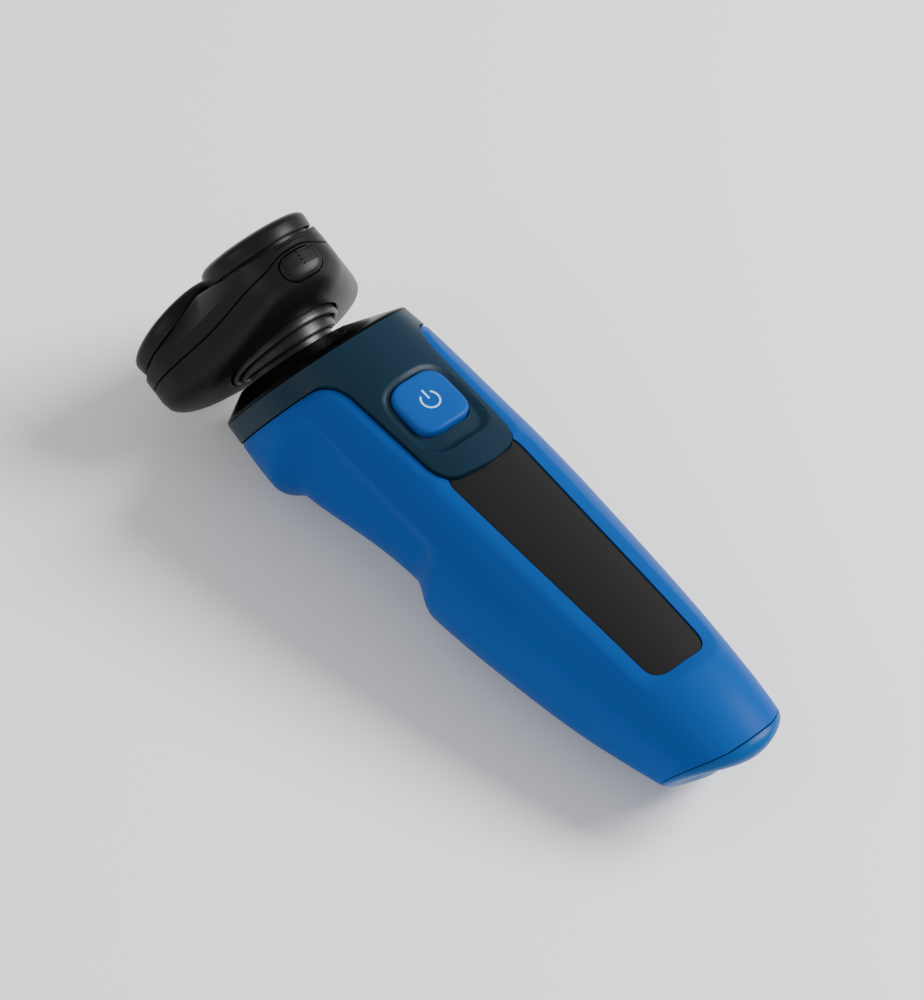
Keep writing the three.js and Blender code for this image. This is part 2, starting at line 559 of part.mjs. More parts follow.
function buildHeadGears(head) {
  const { sunTeeth, planetTeeth, face, floor } = HEAD_GEARS;
  const module = (2 * LOBE.reach) / (sunTeeth + planetTeeth);
  const sun = join(gear(sunTeeth, module, floor, floor + face, 0), disc(3.1, 1.6, floor + 0.5, 18));
  add(head, 'sun_gear', cut(sun, disc(2.4, 1, 4.4, 12)), 'nylon');
  for (let lobe = 0; lobe < LOBE.count; lobe += 1) {
    const spot = group(head, turn(lobeHeading(lobe), LOBE.reach * Math.cos(lobeHeading(lobe)),
      LOBE.reach * Math.sin(lobeHeading(lobe)), 0));
    const sunStep = (2 * Math.PI) / sunTeeth;
    const phase = Math.PI + Math.PI / planetTeeth + (lobeHeading(lobe) % sunStep) * (sunTeeth / planetTeeth);
    const planet = gear(planetTeeth, module, floor, floor + face, 0, phase);
    const spindle = join(disc(1.9, floor - 0.2, floor + 5, 10), disc(1.6, floor + 4.8, floor + 10.3, 6));
    add(spot, `cutter_spindle_${lobe + 1}`, join(planet, spindle), 'nylon');
  }
}

function buildCap(holder, lobe) {
  const spot = group(holder, capMatrix(lobe));
  const { flange, lift, height } = CAP;
  add(spot, `cap_ring_${lobe + 1}`, turned([[9.9, lift], [flange - 0.2, lift], [flange, lift + 1.3],
    [flange - 0.7, height], [10.4, height + 0.1], [9.9, height - 0.5]], 24), 'black');
  add(spot, `shaving_cap_${lobe + 1}`, shavingCap(), 'steel');
  add(spot, `cutter_${lobe + 1}`, cutter(), 'steel');
}

function shavingCap() {
  const { height } = CAP;
  const top = height + 0.35;
  const plate = turned([[0, top - 1.0], [4.2, top - 1.0], [4.6, top - 0.5], [8.9, top - 0.5], [9.2, -1.6],
    [9.6, -1.6], [9.6, height - 0.6], [9.2, top - 0.05], [4.4, top], [4.0, top - 0.4], [0, top - 0.4]], 20);
  const slots = Array.from({ length: CAP.slots }, (_, i) =>
    moved(box(5.2, 8.4, -0.22, 0.22, top - 1.2, top + 1), turn((2 * Math.PI * (i + 0.5)) / CAP.slots)));
  return cut(plate, ...slots);
}

function cutter() {
  const { height } = CAP;
  const top = height - 0.6;
  const hub = cut(join(disc(4.2, -0.6, 1.0, 14), disc(3.4, -3.2, 0, 14)), disc(2.6, -5, -0.8, 12));
  const blades = Array.from({ length: CUTTER.blades }, (_, i) =>
    moved(join(box(3.6, CUTTER.radius, -0.45, 0.45, -0.2, 0.6), box(5.6, CUTTER.radius - 0.4, -0.3, 0.3, 0.4, top)),
      turn((2 * Math.PI * i) / CUTTER.blades)));
  return join(hub, ...blades);
}

buildHandleShells();
buildShoulder();
buildFoot();
buildPowerButton();
buildElectronics();
buildDrive();
buildNeck();
const head = group(handle, headMatrix);
buildHead(head);
buildHolder(head);
for (let lobe = 0; lobe < LOBE.count; lobe += 1) buildCap(head, lobe);

handle.rotation.y = REST_PITCH;
handle.updateMatrixWorld(true);
const bounds = new THREE.Box3().setFromObject(shaver, true);
handle.position.set(-(bounds.min.x + bounds.max.x) / 2, 0, -bounds.min.z);

export default shaver;
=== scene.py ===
"""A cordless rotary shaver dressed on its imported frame.

Shapes are laid out in millimetres, in the frame of the piece they belong to. They become
metres in the shared frame when a piece is settled.
"""

from __future__ import annotations

import json
import logging
import math
from dataclasses import dataclass, field
from enum import Enum
from typing import Callable, Sequence

import bmesh
import bpy
import numpy as np
from mathutils import Matrix

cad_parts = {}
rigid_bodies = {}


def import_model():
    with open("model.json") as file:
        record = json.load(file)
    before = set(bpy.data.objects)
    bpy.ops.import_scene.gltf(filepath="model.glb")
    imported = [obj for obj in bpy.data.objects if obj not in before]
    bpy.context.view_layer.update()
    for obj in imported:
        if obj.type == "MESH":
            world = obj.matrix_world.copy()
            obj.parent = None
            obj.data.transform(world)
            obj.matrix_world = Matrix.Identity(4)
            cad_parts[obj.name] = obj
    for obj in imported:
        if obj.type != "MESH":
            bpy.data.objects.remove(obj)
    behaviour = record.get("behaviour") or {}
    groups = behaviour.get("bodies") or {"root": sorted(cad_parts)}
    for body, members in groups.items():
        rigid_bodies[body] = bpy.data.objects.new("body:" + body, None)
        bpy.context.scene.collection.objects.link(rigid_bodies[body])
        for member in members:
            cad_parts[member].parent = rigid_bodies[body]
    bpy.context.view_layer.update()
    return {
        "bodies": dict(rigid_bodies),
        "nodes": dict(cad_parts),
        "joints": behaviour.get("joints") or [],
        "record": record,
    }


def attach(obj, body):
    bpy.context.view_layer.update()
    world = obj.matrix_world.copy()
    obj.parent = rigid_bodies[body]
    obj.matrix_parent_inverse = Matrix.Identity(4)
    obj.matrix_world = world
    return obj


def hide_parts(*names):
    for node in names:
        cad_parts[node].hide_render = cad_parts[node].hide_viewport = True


log = logging.getLogger("shaver")

Pairs = tuple[tuple[float, float], ...]
# Lengths are in millimetres and angles in degrees.
METRE = 1000.0
GAP = 0.3
WALL = 1.9
REST_TURN = 9.54
SHOULDER_TILT = 23
MIDDLE_TILT = 18
HEAD_TILT = 13
NECK_FORWARD = -32.0
PIVOT_RISE = 7.0


class Cut(Enum):
    """How a tool changes a body."""

    AWAY = "DIFFERENCE"
    KEEP = "INTERSECT"
    ADD = "UNION"


class Slot(Enum):
    """The record's material slot names."""

    BLUE = "blue_plastic"
    NAVY = "navy_plastic"
    CYAN = "cyan_plastic"
    BLACK = "black_plastic"
    LENS = "display_lens"
    RUBBER = "soft_rubber"
    FOIL = "shaving_steel"


# ---------------------------------------------------------------- places and curves
@dataclass(frozen=True)
class Place:
    """A frame given by its axes and origin in another frame."""

    matrix: np.ndarray = field(default_factory=lambda: np.eye(4))

    @staticmethod
    def tilted(degrees: float, origin: Sequence[float] = (0, 0, 0)) -> Place:
        """A frame whose z leans from the handle's -x towards the front by the given angle.

        Args:
            degrees: the lean.
            origin: where the frame sits.

        Returns:
            The frame.
        """
        s, c = math.sin(math.radians(degrees)), math.cos(math.radians(degrees))
        m = np.eye(4)
        m[:3, 0], m[:3, 2], m[:3, 3] = (s, 0, c), (-c, 0, s), origin
        return Place(m)

    @staticmethod
    def turned(axis: str, degrees: float, origin: Sequence[float] = (0, 0, 0)) -> Place:
        """A frame turned about one axis and then moved.

        Args:
            axis: X, Y or Z.
            degrees: the turn.
            origin: where the frame sits.

        Returns:
            The frame.
        """
        m = np.array(Matrix.Rotation(math.radians(degrees), 4, axis))
        m[:3, 3] = origin
        return Place(m)

    def then(self, inner: Place) -> Place:
        """The frame of a piece laid out inside this one."""
        return Place(self.matrix @ inner.matrix)

    def points(self, local: np.ndarray) -> np.ndarray:
        """Local points given in the outer frame."""
        return local @ self.matrix[:3, :3].T + self.matrix[:3, 3]

    def height(self, outer: np.ndarray) -> np.ndarray:
        """Height of outer points along this frame's z."""
        return (outer - self.matrix[:3, 3]) @ self.matrix[:3, 2]


def curve(pairs: Pairs, x: np.ndarray | float) -> np.ndarray:
    """Smooth curve through pairs of place and value.

    Args:
        pairs: places in rising order, each with its value.
        x: where to read the curve.

    Returns:
        The value at each place.
    """
    xs, vs = np.array(pairs, float).T
    before, after = np.maximum(np.arange(len(xs)) - 1, 0), np.minimum(np.arange(len(xs)) + 1, len(xs) - 1)
    slope = (vs[after] - vs[before]) / (xs[after] - xs[before])
    i = np.clip(np.searchsorted(xs, x, side="left") - 1, 0, len(xs) - 2)
    h = xs[i + 1] - xs[i]
    t = np.clip((x - xs[i]) / h, 0, 1)
    s = 1 - t
    ends = vs[i] * s * s * (1 + 2 * t) + vs[i + 1] * t * t * (1 + 2 * s)
    return ends + h * s * t * (slope[i] * s - slope[i + 1] * t)


def ease(t: np.ndarray | float) -> np.ndarray:
    """A soft step from 0 to 1."""
    c = np.clip(t, 0, 1)
    return c * c * (3 - 2 * c)


@dataclass(frozen=True)
class Outline:
    """A closed flat outline as a ring of points."""

    ring: np.ndarray

    @staticmethod
    def rounded(x0: float, x1: float, half0: float, half1: float, corner: float, steps: int = 12) -> Outline:
        """A rectangle or taper along x with soft corners.

        Args:
            x0: near end.
            x1: far end.
            half0: half width at the near end.
            half1: half width at the far end.
            corner: length of each corner's curve.
            steps: points along each corner.

        Returns:
            The outline, anticlockwise.
        """
        corners = [((x1 - corner, -half1), (x1, -half1), (x1, corner - half1)),
                   ((x1, half1 - corner), (x1, half1), (x1 - corner, half1)),
                   ((x0 + corner, half0), (x0, half0), (x0, half0 - corner)),
                   ((x0, corner - half0), (x0, -half0), (x0 + corner, -half0))]
        return Outline(np.concatenate([Outline._bend(*c, steps) for c in corners]))

    @staticmethod
    def _bend(a: Sequence[float], b: Sequence[float], c: Sequence[float], steps: int) -> np.ndarray:
        """Points on the soft bend from a to c that leans on b."""
        t = np.linspace(0, 1, steps)[:, None]
        return np.array(a) * (1 - t) ** 2 + np.array(b) * 2 * t * (1 - t) + np.array(c) * t * t

    def distance(self, points: np.ndarray) -> np.ndarray:
        """Distance from the outline, negative inside.

        Args:
            points: flat points, shape (n, 2).

        Returns:
            One signed distance per point.
        """
        best = np.full(len(points), 1e9)
        inside = np.zeros(len(points), bool)
        for a, b in zip(self.ring, np.roll(self.ring, -1, axis=0)):
            edge = b - a
            rel = points - a
            t = np.clip(rel @ edge / max(edge @ edge, 1e-12), 0, 1)
            best = np.minimum(best, np.linalg.norm(rel - t[:, None] * edge, axis=1))
            if a[1] != b[1]:
                crosses = (a[1] > points[:, 1]) != (b[1] > points[:, 1])
                inside ^= crosses & (points[:, 0] < a[0] + edge[0] * (points[:, 1] - a[1]) / edge[1])
        return np.where(inside, -best, best)

    def scaled(self, share: float) -> np.ndarray:
        """The outline shrunk towards its middle."""
        middle = (self.ring.min(0) + self.ring.max(0)) / 2
        return middle + (self.ring - middle) * share


# ---------------------------------------------------------------- solids
@dataclass
class Solid:
    """A closed mesh in the making, in millimetres."""

    points: np.ndarray
    faces: list[tuple[int, ...]]

    @staticmethod
    def loft(rings: Sequence[np.ndarray]) -> Solid:
        """A skin through rings of equal counts, closed at both ends.

        Args:
            rings: point rings from one end to the other.

        Returns:
            The closed solid.
        """
        n = len(rings[0])
        points = np.concatenate([*rings, [rings[0].mean(0)], [rings[-1].mean(0)]])
        nxt = [(i + 1) % n for i in range(n)]
        faces = [(r * n + i, r * n + nxt[i], (r + 1) * n + nxt[i], (r + 1) * n + i)
                 for r in range(len(rings) - 1) for i in range(n)]
        first, last, top = len(points) - 2, len(points) - 1, (len(rings) - 1) * n
        faces += [(first, nxt[i], i) for i in range(n)] + [(last, top + i, top + nxt[i]) for i in range(n)]
        return Solid(points, faces)

    @staticmethod
    def prism(outline: Outline, z0: float, z1: float) -> Solid:
        """An upright solid over a flat outline."""
        return Solid.loft([np.column_stack([outline.ring, np.full(len(outline.ring), z)]) for z in (z0, z1)])

    @staticmethod
    def box(x: tuple[float, float], y: tuple[float, float], z: tuple[float, float]) -> Solid:
        """A rectangular block between limits."""
        ring = np.array([(x[0], y[0]), (x[1], y[0]), (x[1], y[1]), (x[0], y[1])], float)
        return Solid.prism(Outline(ring), *z)

    @staticmethod
    def lathe(profile: Sequence[tuple[float, float]], segments: int = 96) -> Solid:
        """A turned ring about z from a closed profile of (radius, height) points.

        Args:
            profile: the closed section, none of it on the axis.
            segments: steps round the axis.

        Returns:
            The ring.
        """
        m = len(profile)
        turn = np.linspace(0, 2 * np.pi, segments, endpoint=False)
        r, z = np.array(profile, float).T
        grid = np.stack([np.outer(np.cos(turn), r), np.outer(np.sin(turn), r),
                         np.outer(np.ones(segments), z)], -1)
        after = [(s + 1) % segments for s in range(segments)]
        faces = [(s * m + k, after[s] * m + k, after[s] * m + (k + 1) % m, s * m + (k + 1) % m)
                 for s in range(segments) for k in range(m)]
        return Solid(grid.reshape(-1, 3), faces)

    @staticmethod
    def post(profile: Sequence[tuple[float, float]], segments: int = 64) -> Solid:
        """A turned solid about z through (radius, height) stations, closed at both ends."""
        turn = np.linspace(0, 2 * np.pi, segments, endpoint=False)
        return Solid.loft([np.stack([r * np.cos(turn), r * np.sin(turn), np.full(segments, z)], -1)
                           for r, z in profile])

    def at(self, place: Place) -> Solid:
        """The same solid laid in an outer frame."""
        return Solid(place.points(self.points), self.faces)

    def item(self, name: str) -> bpy.types.Object:
        """A Blender object of this solid, its faces turned outwards.

        Args:
            name: its name.

        Returns:
            The object, in the scene.
        """
        mesh = bpy.data.meshes.new(name)
        mesh.from_pydata(self.points.tolist(), [], self.faces)
        work = bmesh.new()
        work.from_mesh(mesh)
        bmesh.ops.remove_doubles(work, verts=work.verts, dist=1e-5)
        bmesh.ops.recalc_face_normals(work, faces=work.faces)
        work.to_mesh(mesh)
        work.free()
        item = bpy.data.objects.new(name, mesh)
        bpy.context.scene.collection.objects.link(item)
        return item


def baked(item: bpy.types.Object) -> bpy.types.Object:
    """The object with its modifiers worked into a plain mesh.

    Args:
        item: the object.

    Returns:
        The same object.
    """
    shot = item.evaluated_get(bpy.context.evaluated_depsgraph_get())
    mesh = bpy.data.meshes.new_from_object(shot)
    item.modifiers.clear()
    item.data = mesh
    return item


def work_in(item: bpy.types.Object, how: Cut, other: bpy.types.Object) -> bpy.types.Object:
    """Change a body with another object, which is then dropped.

    Args:
        item: the body.
        how: taken away, kept or added.
        other: the closed object to change it with.

    Returns:
        The body.
    """
    change = item.modifiers.new("carve", "BOOLEAN")
    change.operation, change.solver, change.object = how.value, "MANIFOLD", other
    baked(item)
    bpy.data.objects.remove(other)
    return item


def carve(item: bpy.types.Object, how: Cut, *tools: Solid) -> bpy.types.Object:
    """Change a body with closed tools, one after another.

    Args:
        item: the body.
        how: taken away, kept or added.
        tools: the tools, in the body's frame.

    Returns:
        The body.
    """
    for tool in tools:
        work_in(item, how, tool.item("tool"))
    return item


def settle(item: bpy.types.Object, place: Place, body: str, look: bpy.types.Material,
           nodes: Sequence[str] = (), crease: float = 32.0) -> bpy.types.Object:
    """Lay a finished piece in the shared frame, dress it and hang it on its body.

    Args:
        item: the piece, in millimetres in its own frame.
        place: that frame in the handle's frame.
        body: the body it moves with.
        look: its material.
        nodes: the frame nodes it stands for.
        crease: edges sharper than this many degrees stay crisp.

    Returns:
        The piece.
    """
    whole = Handle.PLACE.then(place).matrix.copy()
    whole[:3] /= METRE
    mesh = item.data
    mesh.transform(Matrix(whole.tolist()))
    mesh.shade_smooth()
    mesh.set_sharp_from_angle(angle=math.radians(crease))
    mesh.materials.clear()
    mesh.materials.append(look)
    mesh.update()
    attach(item, body)
    if nodes:
        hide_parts(*nodes)
    log.info("%s on %s: %d faces", item.name, body, len(mesh.polygons))
    return item


# ---------------------------------------------------------------- finishes
@dataclass(frozen=True)
class Finish:
    """Moulded plastic: a colour that drifts a little, fine texture and soft gloss."""

    name: str
    light: tuple[float, float, float]
    dark: tuple[float, float, float]
    rough: tuple[float, float] = (0.32, 0.42)
    metallic: float = 0.0
    grain: float = 2600.0
    depth: float = 0.06
    drift: float = 22.0
    specular: float = 0.5
    stretch: tuple[float, float, float] = (1.0, 1.0, 1.0)

    def material(self) -> bpy.types.Material:
        """Build the node tree of this finish.

        Returns:
            The material.
        """
        look = bpy.data.materials.new(self.name)
        look.use_nodes = True
        look.diffuse_color = (*self.light, 1)
        tree = look.node_tree
        shader = tree.nodes["Principled BSDF"]
        shader.inputs["Metallic"].default_value = self.metallic
        shader.inputs["Specular IOR Level"].default_value = self.specular
        where = tree.nodes.new("ShaderNodeTexCoord")
        lay = tree.nodes.new("ShaderNodeMapping")
        lay.inputs["Scale"].default_value = self.stretch
        tree.links.new(where.outputs["Object"], lay.inputs["Vector"])
        broad = self._noise(tree, lay, self.drift, 2.0)
        fine = self._noise(tree, lay, self.grain, 3.0)
        tint = tree.nodes.new("ShaderNodeValToRGB")
        tint.color_ramp.elements[0].position, tint.color_ramp.elements[0].color = 0.3, (*self.dark, 1)
        tint.color_ramp.elements[1].position, tint.color_ramp.elements[1].color = 0.7, (*self.light, 1)
        tree.links.new(broad.outputs["Fac"], tint.inputs["Fac"])
        tree.links.new(tint.outputs["Color"], shader.inputs["Base Color"])
        gloss = tree.nodes.new("ShaderNodeMapRange")
        gloss.inputs["From Min"].default_value, gloss.inputs["From Max"].default_value = 0.3, 0.7
        gloss.inputs["To Min"].default_value, gloss.inputs["To Max"].default_value = self.rough
        tree.links.new(fine.outputs["Fac"], gloss.inputs["Value"])
        tree.links.new(gloss.outputs["Result"], shader.inputs["Roughness"])
        bump = tree.nodes.new("ShaderNodeBump")
        bump.inputs["Strength"].default_value = self.depth
        bump.inputs["Distance"].default_value = 0.0002
        tree.links.new(fine.outputs["Fac"], bump.inputs["Height"])
        tree.links.new(bump.outputs["Normal"], shader.inputs["Normal"])
        return look

    @staticmethod
    def _noise(tree: bpy.types.NodeTree, lay: bpy.types.Node, scale: float, detail: float) -> bpy.types.Node:
        """A noise pattern of one size.

        Args:
            tree: the tree to add to.
            lay: the node that gives the place.
            scale: how fine it is.
            detail: how many octaves.

        Returns:
            The noise node.
        """
        noise = tree.nodes.new("ShaderNodeTexNoise")
        noise.inputs["Scale"].default_value = scale
        noise.inputs["Detail"].default_value = detail
        tree.links.new(lay.outputs["Vector"], noise.inputs["Vector"])
        return noise


class Palette:
    """Every finish of the shaver, made once."""

    def __init__(self) -> None:
        """Make the materials."""
        self.blue = Finish("satin_blue", (0.0004, 0.056, 0.250), (0.0003, 0.050, 0.228),
                           rough=(0.38, 0.46), depth=0.05, specular=0.05).material()
        self.button = Finish("button_blue", (0.002, 0.060, 0.272), (0.0016, 0.055, 0.255),
                             rough=(0.38, 0.46), depth=0.05, specular=0.10).material()
        self.navy = Finish("navy_lacquer", (0.0060, 0.0205, 0.0370), (0.0045, 0.0160, 0.0295),
                           rough=(0.36, 0.42), grain=5200.0, depth=0.03, specular=0.10).material()
        self.cyan = Finish("cyan_foot", (0.0006, 0.058, 0.215), (0.0005, 0.050, 0.195), rough=(0.32, 0.40),
                           specular=0.10).material()
        self.black = Finish("satin_black", (0.0075, 0.0070, 0.0085), (0.0052, 0.0050, 0.0060),
                            rough=(0.34, 0.42), depth=0.06, grain=3600.0, specular=0.13).material()
        self.piano = Finish("gloss_black", (0.0012, 0.0012, 0.0015), (0.0010, 0.0010, 0.0012),
                            rough=(0.26, 0.30), depth=0.005, specular=0.04).material()
        self.rubber = Finish("ribbed_rubber", (0.0065, 0.0065, 0.0075), (0.0045, 0.0045, 0.0055),
                             rough=(0.30, 0.40), depth=0.08, grain=4200.0, specular=0.32).material()
        self.lens = Finish("display_glass", (0.0135, 0.0135, 0.0135), (0.0125, 0.0125, 0.0125),
                           rough=(0.20, 0.26), depth=0.01, specular=0.12).material()
        self.mark = Finish("mark_paint", (0.36, 0.62, 0.86), (0.33, 0.58, 0.83), rough=(0.4, 0.5)).material()
        self.foil = Finish("shaving_foil", (0.62, 0.63, 0.65), (0.52, 0.53, 0.55), rough=(0.18, 0.30),
                           metallic=1.0, drift=60.0, grain=3200.0).material()
        self.steel = Finish("plain_steel", (0.55, 0.56, 0.58), (0.45, 0.46, 0.48), rough=(0.22, 0.36),
                            metallic=1.0, stretch=(1.0, 8.0, 1.0), grain=1800.0).material()
        self.nylon = Finish("white_nylon", (0.72, 0.72, 0.68), (0.66, 0.66, 0.61),
                            rough=(0.45, 0.55)).material()
        self.board = Finish("board_green", (0.02, 0.16, 0.06), (0.015, 0.12, 0.05), rough=(0.4, 0.5),
                            drift=400.0).material()
        self.cell = Finish("cell_sleeve", (0.03, 0.20, 0.09), (0.025, 0.17, 0.08),
                           rough=(0.3, 0.4)).material()

    def dress_nodes(self, frame: dict[str, dict]) -> None:
        """Give every frame node that stays its finish.
        """
        looks = {"plain_steel": self.steel, "motor_steel": self.steel, "white_nylon": self.nylon,
                 "board_laminate": self.board, "battery_sleeve": self.cell, "soft_rubber": self.rubber,
                 "black_plastic": self.black, "shaving_steel": self.foil, "blue_plastic": self.blue,
                 "navy_plastic": self.navy, "cyan_plastic": self.cyan, "display_lens": self.lens}
        slots = {part["node"]: part["material_slot"] for part in frame["record"]["subparts"]}
        for name, item in frame["nodes"].items():
            for place in item.material_slots:
                place.material = looks[slots[name]]


# ---------------------------------------------------------------- the handle
@dataclass(frozen=True)
class HandleForm:
    """The handle's sections, from the shoulder at x = 0 to the foot."""

    half_width: Pairs = ((-34, 18.5), (-12, 21), (8, 22.9), (30, 21.6), (55, 20.7), (80, 18.6), (105, 15.8),
                         (122, 13.9))
    front: Pairs = ((-34, 0), (60, 0), (92, -0.2), (108, -1.2), (122, -3.6))
    back: Pairs = ((-34, -44.5), (-14, -47.6), (1.5, -48.59), (20, -44.9), (38, -41.8), (54, -39.77),
                   (84, -34.73), (105, -29.0), (122, -24.6))
    widest: Pairs = ((-34, -25), (8, -26), (34, -20), (60, -19.5), (90, -17.5), (122, -15.5))
    front_power: float = 2.12
    back_power: float = 2.0
    foot: float = 118.6
    end: float = 122.4
    sweep_from: float = 84.0
    sweep_side: float = 3.4
    sweep_back: float = 11.0
    grip_from: float = 2.0
    grip_full: float = 9.5
    grip_ease: float = 41.0
    grip_to: float = 50.0
    grip_side: float = 3.6
    grip_back: float = 6.6

    def grid(self, xs: np.ndarray, count: int, inset: float = 0.0) -> np.ndarray:
        """Points of the skin, or of a skin drawn inwards.

        Args:
            xs: stations along the handle.
            count: points round each section.
            inset: how far inside the skin, in millimetres.

        Returns:
            An array of stations by points by three.
        """
        x = np.asarray(xs, float)[:, None]
        angle = 2 * np.pi * (np.arange(count)[None, :] + 0.5) / count
        c, s = np.cos(angle), np.sin(angle)
        power = np.where(s > 0, self.front_power, self.back_power)
        a = curve(self.half_width, x) - inset
        zw = curve(self.widest, x)
        up, down = curve(self.front, x) - inset - zw, zw - curve(self.back, x) - inset
        y = np.sign(c) * a * np.abs(c) ** (2 / power)
        z = zw + np.sign(s) * np.where(s > 0, up, down) * np.abs(s) ** (2 / power)
        share = ease((x - self.grip_from) / (self.grip_full - self.grip_from))
        share = share * ease((self.grip_to - x) / (self.grip_to - self.grip_ease)) * ease((-8 - z) / 7)
        t = np.maximum((x - self.sweep_from) / (self.end - self.sweep_from), 0)
        sweep = t * t * (self.sweep_side * (y / a) ** 2 + self.sweep_back * np.maximum(-z - 4, 0) / 24)
        return np.stack([x - sweep + 0 * y, y - np.sign(y) * share * self.grip_side * np.abs(c),
                         z + share * self.grip_back * s * s], -1)

    def top(self, x: np.ndarray | float, y: np.ndarray) -> np.ndarray:
        """Height of the front skin over a place seen from the front.

        Args:
            x: place along the handle.
            y: places across it.

        Returns:
            One height per place.
        """
        a, zw = curve(self.half_width, x), curve(self.widest, x)
        side = np.clip(np.abs(y) / a, 0, 1) ** self.front_power
        return zw + (curve(self.front, x) - zw) * (1 - side) ** (1 / self.front_power)

    def body(self, xs: np.ndarray, count: int, inset: float = 0.0,
             relief: Callable[[np.ndarray], np.ndarray] | None = None) -> Solid:
        """A closed solid of the handle, with fine relief sunk into its skin.

        Args:
            xs: stations along the handle.
            count: points round each section.
            inset: how far inside the skin.
            relief: depth of the relief at given points, or none.

        Returns:
            The solid.
        """
        grid = self.grid(xs, count, inset)
        if relief is not None:
            along = np.gradient(grid, axis=0)
            across = np.roll(grid, -1, axis=1) - np.roll(grid, 1, axis=1)
            normal = np.cross(across, along)
            normal /= np.maximum(np.linalg.norm(normal, axis=-1, keepdims=True), 1e-9)
            out = grid - grid.mean(axis=1, keepdims=True)
            normal *= np.sign((normal * out).sum(-1, keepdims=True))
            grid = grid - normal * relief(grid.reshape(-1, 3)).reshape(grid.shape[:2])[..., None]
        return Solid.loft(list(grid))


@dataclass
class Handle:
    """The handle's outer pieces: shell, front panel, display, button, foot."""

    PLACE = Place.turned("Y", REST_TURN, (-34.9465, 0, 47.6148))
    SHOULDER = Place.tilted(SHOULDER_TILT)

    palette: Palette
    form: HandleForm = field(default_factory=HandleForm)
    collar_depth: float = 4.75
    tongue_half: float = 10.7
    tongue_end: float = 39.9
    tongue_corner: float = 5.5
    tongue_root: tuple[float, float] = (1.5, 16.4)
    button_x: float = 21.4
    button_half: float = 6.8
    button_corner: float = 4.6
    dish: tuple[float, float, float, float] = (13.2, 33.2, 8.9, 6.4)
    window: tuple[float, float, float, float, float] = (35.5, 98.2, 9.4, 7.5, 4.6)

    def tongue(self, grow: float) -> Outline:
        """Outline of the panel's tongue seen from the front.

        Args:
            grow: how far outside the tongue.

        Returns:
            The outline.
        """
        rx, ry = self.tongue_root[0] + grow, self.tongue_root[1] + grow
        half, tip, c = self.tongue_half + grow, self.tongue_end + grow, self.tongue_corner
        right = [Outline._bend((rx, ry), (self.tongue_root[0] + 2 + grow, half + 0.8),
                               (self.tongue_root[0] + 9, half + 0.3), 14),
                 Outline._bend((tip - c - 2, half - 0.5), (tip - 1.2, half - 1), (tip - 0.7, half - c), 14)]
        end = Outline._bend((tip - 0.7, half - c), (tip + 0.6, 0), (tip - 0.7, c - half), 16)[1:-1]
        left = [piece[::-1] * (1, -1) for piece in right[::-1]]
        return Outline(np.concatenate([[(-14, ry)], *right, end, *left, [(-14, -ry)]]))

    def frame_of_window(self, grow: float) -> Outline:
        """Outline of the display opening."""
        x0, x1, half, far, corner = self.window
        return Outline.rounded(x0 - grow, x1 + grow, half + grow, far + grow, corner + grow)

    def button_outline(self, grow: float) -> Outline:
        """Outline of the power button."""
        reach = self.button_half + grow
        return Outline.rounded(self.button_x - reach, self.button_x + reach, reach, reach,
                               self.button_corner + grow, 16)

    def half_space(self, height: float) -> Solid:
        """Everything above a height over the shoulder plane."""
        return Solid.box((-90, 60), (-60, 60), (height, height + 80)).at(self.SHOULDER)

    def ground(self) -> Solid:
        """The block under the flattened strip that the handle lies on."""
        return Solid.box((-80, 160), (-60, 60), (-30, 0.55)).at(Place.turned("Y", -REST_TURN, (5, 0, -48)))

    def shell_relief(self, p: np.ndarray) -> np.ndarray:
        """Depth of the bevelled lips round the panel and the display.

        Args:
            p: points on the skin.

        Returns:
            One depth per point.
        """
        depth = np.zeros(len(p))
        near = p[:, 2] > -9
        flat = p[near, :2]
        lip = 0.85 * np.clip(1 - self.tongue(0).distance(flat) / 2.1, 0, 1)
        lip = np.maximum(lip, 0.95 * np.clip(1 - self.frame_of_window(0).distance(flat) / 2.9, 0, 1))
        depth[near] = lip
        collar = np.abs(self.SHOULDER.height(p) + self.collar_depth)
        return np.maximum(depth, 0.4 * np.clip(1 - collar / 1.1, 0, 1))

    def panel_relief(self, p: np.ndarray) -> np.ndarray:
        """Depth of the dish round the button, deeper towards the foot.

        Args:
            p: points on the skin.

        Returns:
            One depth per point.
        """
        x0, x1, half, corner = self.dish
        depth = np.zeros(len(p))
        near = (p[:, 2] > -6) & (p[:, 0] > 8)
        flat = p[near, :2]
        inside = -Outline.rounded(x0, x1, half, half, corner, 18).distance(flat)
        along = np.clip((flat[:, 0] - x0) / (x1 - x0), 0, 1)
        depth[near] = (0.4 + 1.3 * along) * np.clip(inside / (0.75 + 0.9 * along), 0, 1) ** 0.85
        return depth

    def skin(self, name: str, xs: np.ndarray, count: int,
             relief: Callable[[np.ndarray], np.ndarray]) -> bpy.types.Object:
        """The hollow skin of the handle, cut off at the shoulder and flat underneath.

        Args:
            name: the object's name.
            xs: stations along the handle.
            count: points round each section.
            relief: depth of the relief at given points.

        Returns:
            The skin.
        """
        item = self.form.body(xs, count, relief=relief).item(name)
        hollow = self.form.body(np.linspace(-33, self.form.foot + 1, 40), 64, WALL)
        return carve(item, Cut.AWAY, hollow, self.half_space(0), self.ground())

    def build(self) -> None:
        """Make and place every outer piece of the handle."""
        self.build_shell()
        self.build_panel()
        self.build_display()
        self.build_button()
        self.build_foot()

    def build_shell(self) -> None:
        """The blue body."""
        shell = self.skin("handle_shell", np.linspace(-26, self.form.foot, 264), 256, self.shell_relief)
        carve(shell, Cut.AWAY, self.half_space(-self.collar_depth - GAP),
              Solid.prism(self.tongue(GAP), -9, 6), Solid.prism(self.frame_of_window(0.1), -12, 4))
        settle(shell, Place(), "handle", self.palette.blue, ["main_shell"])

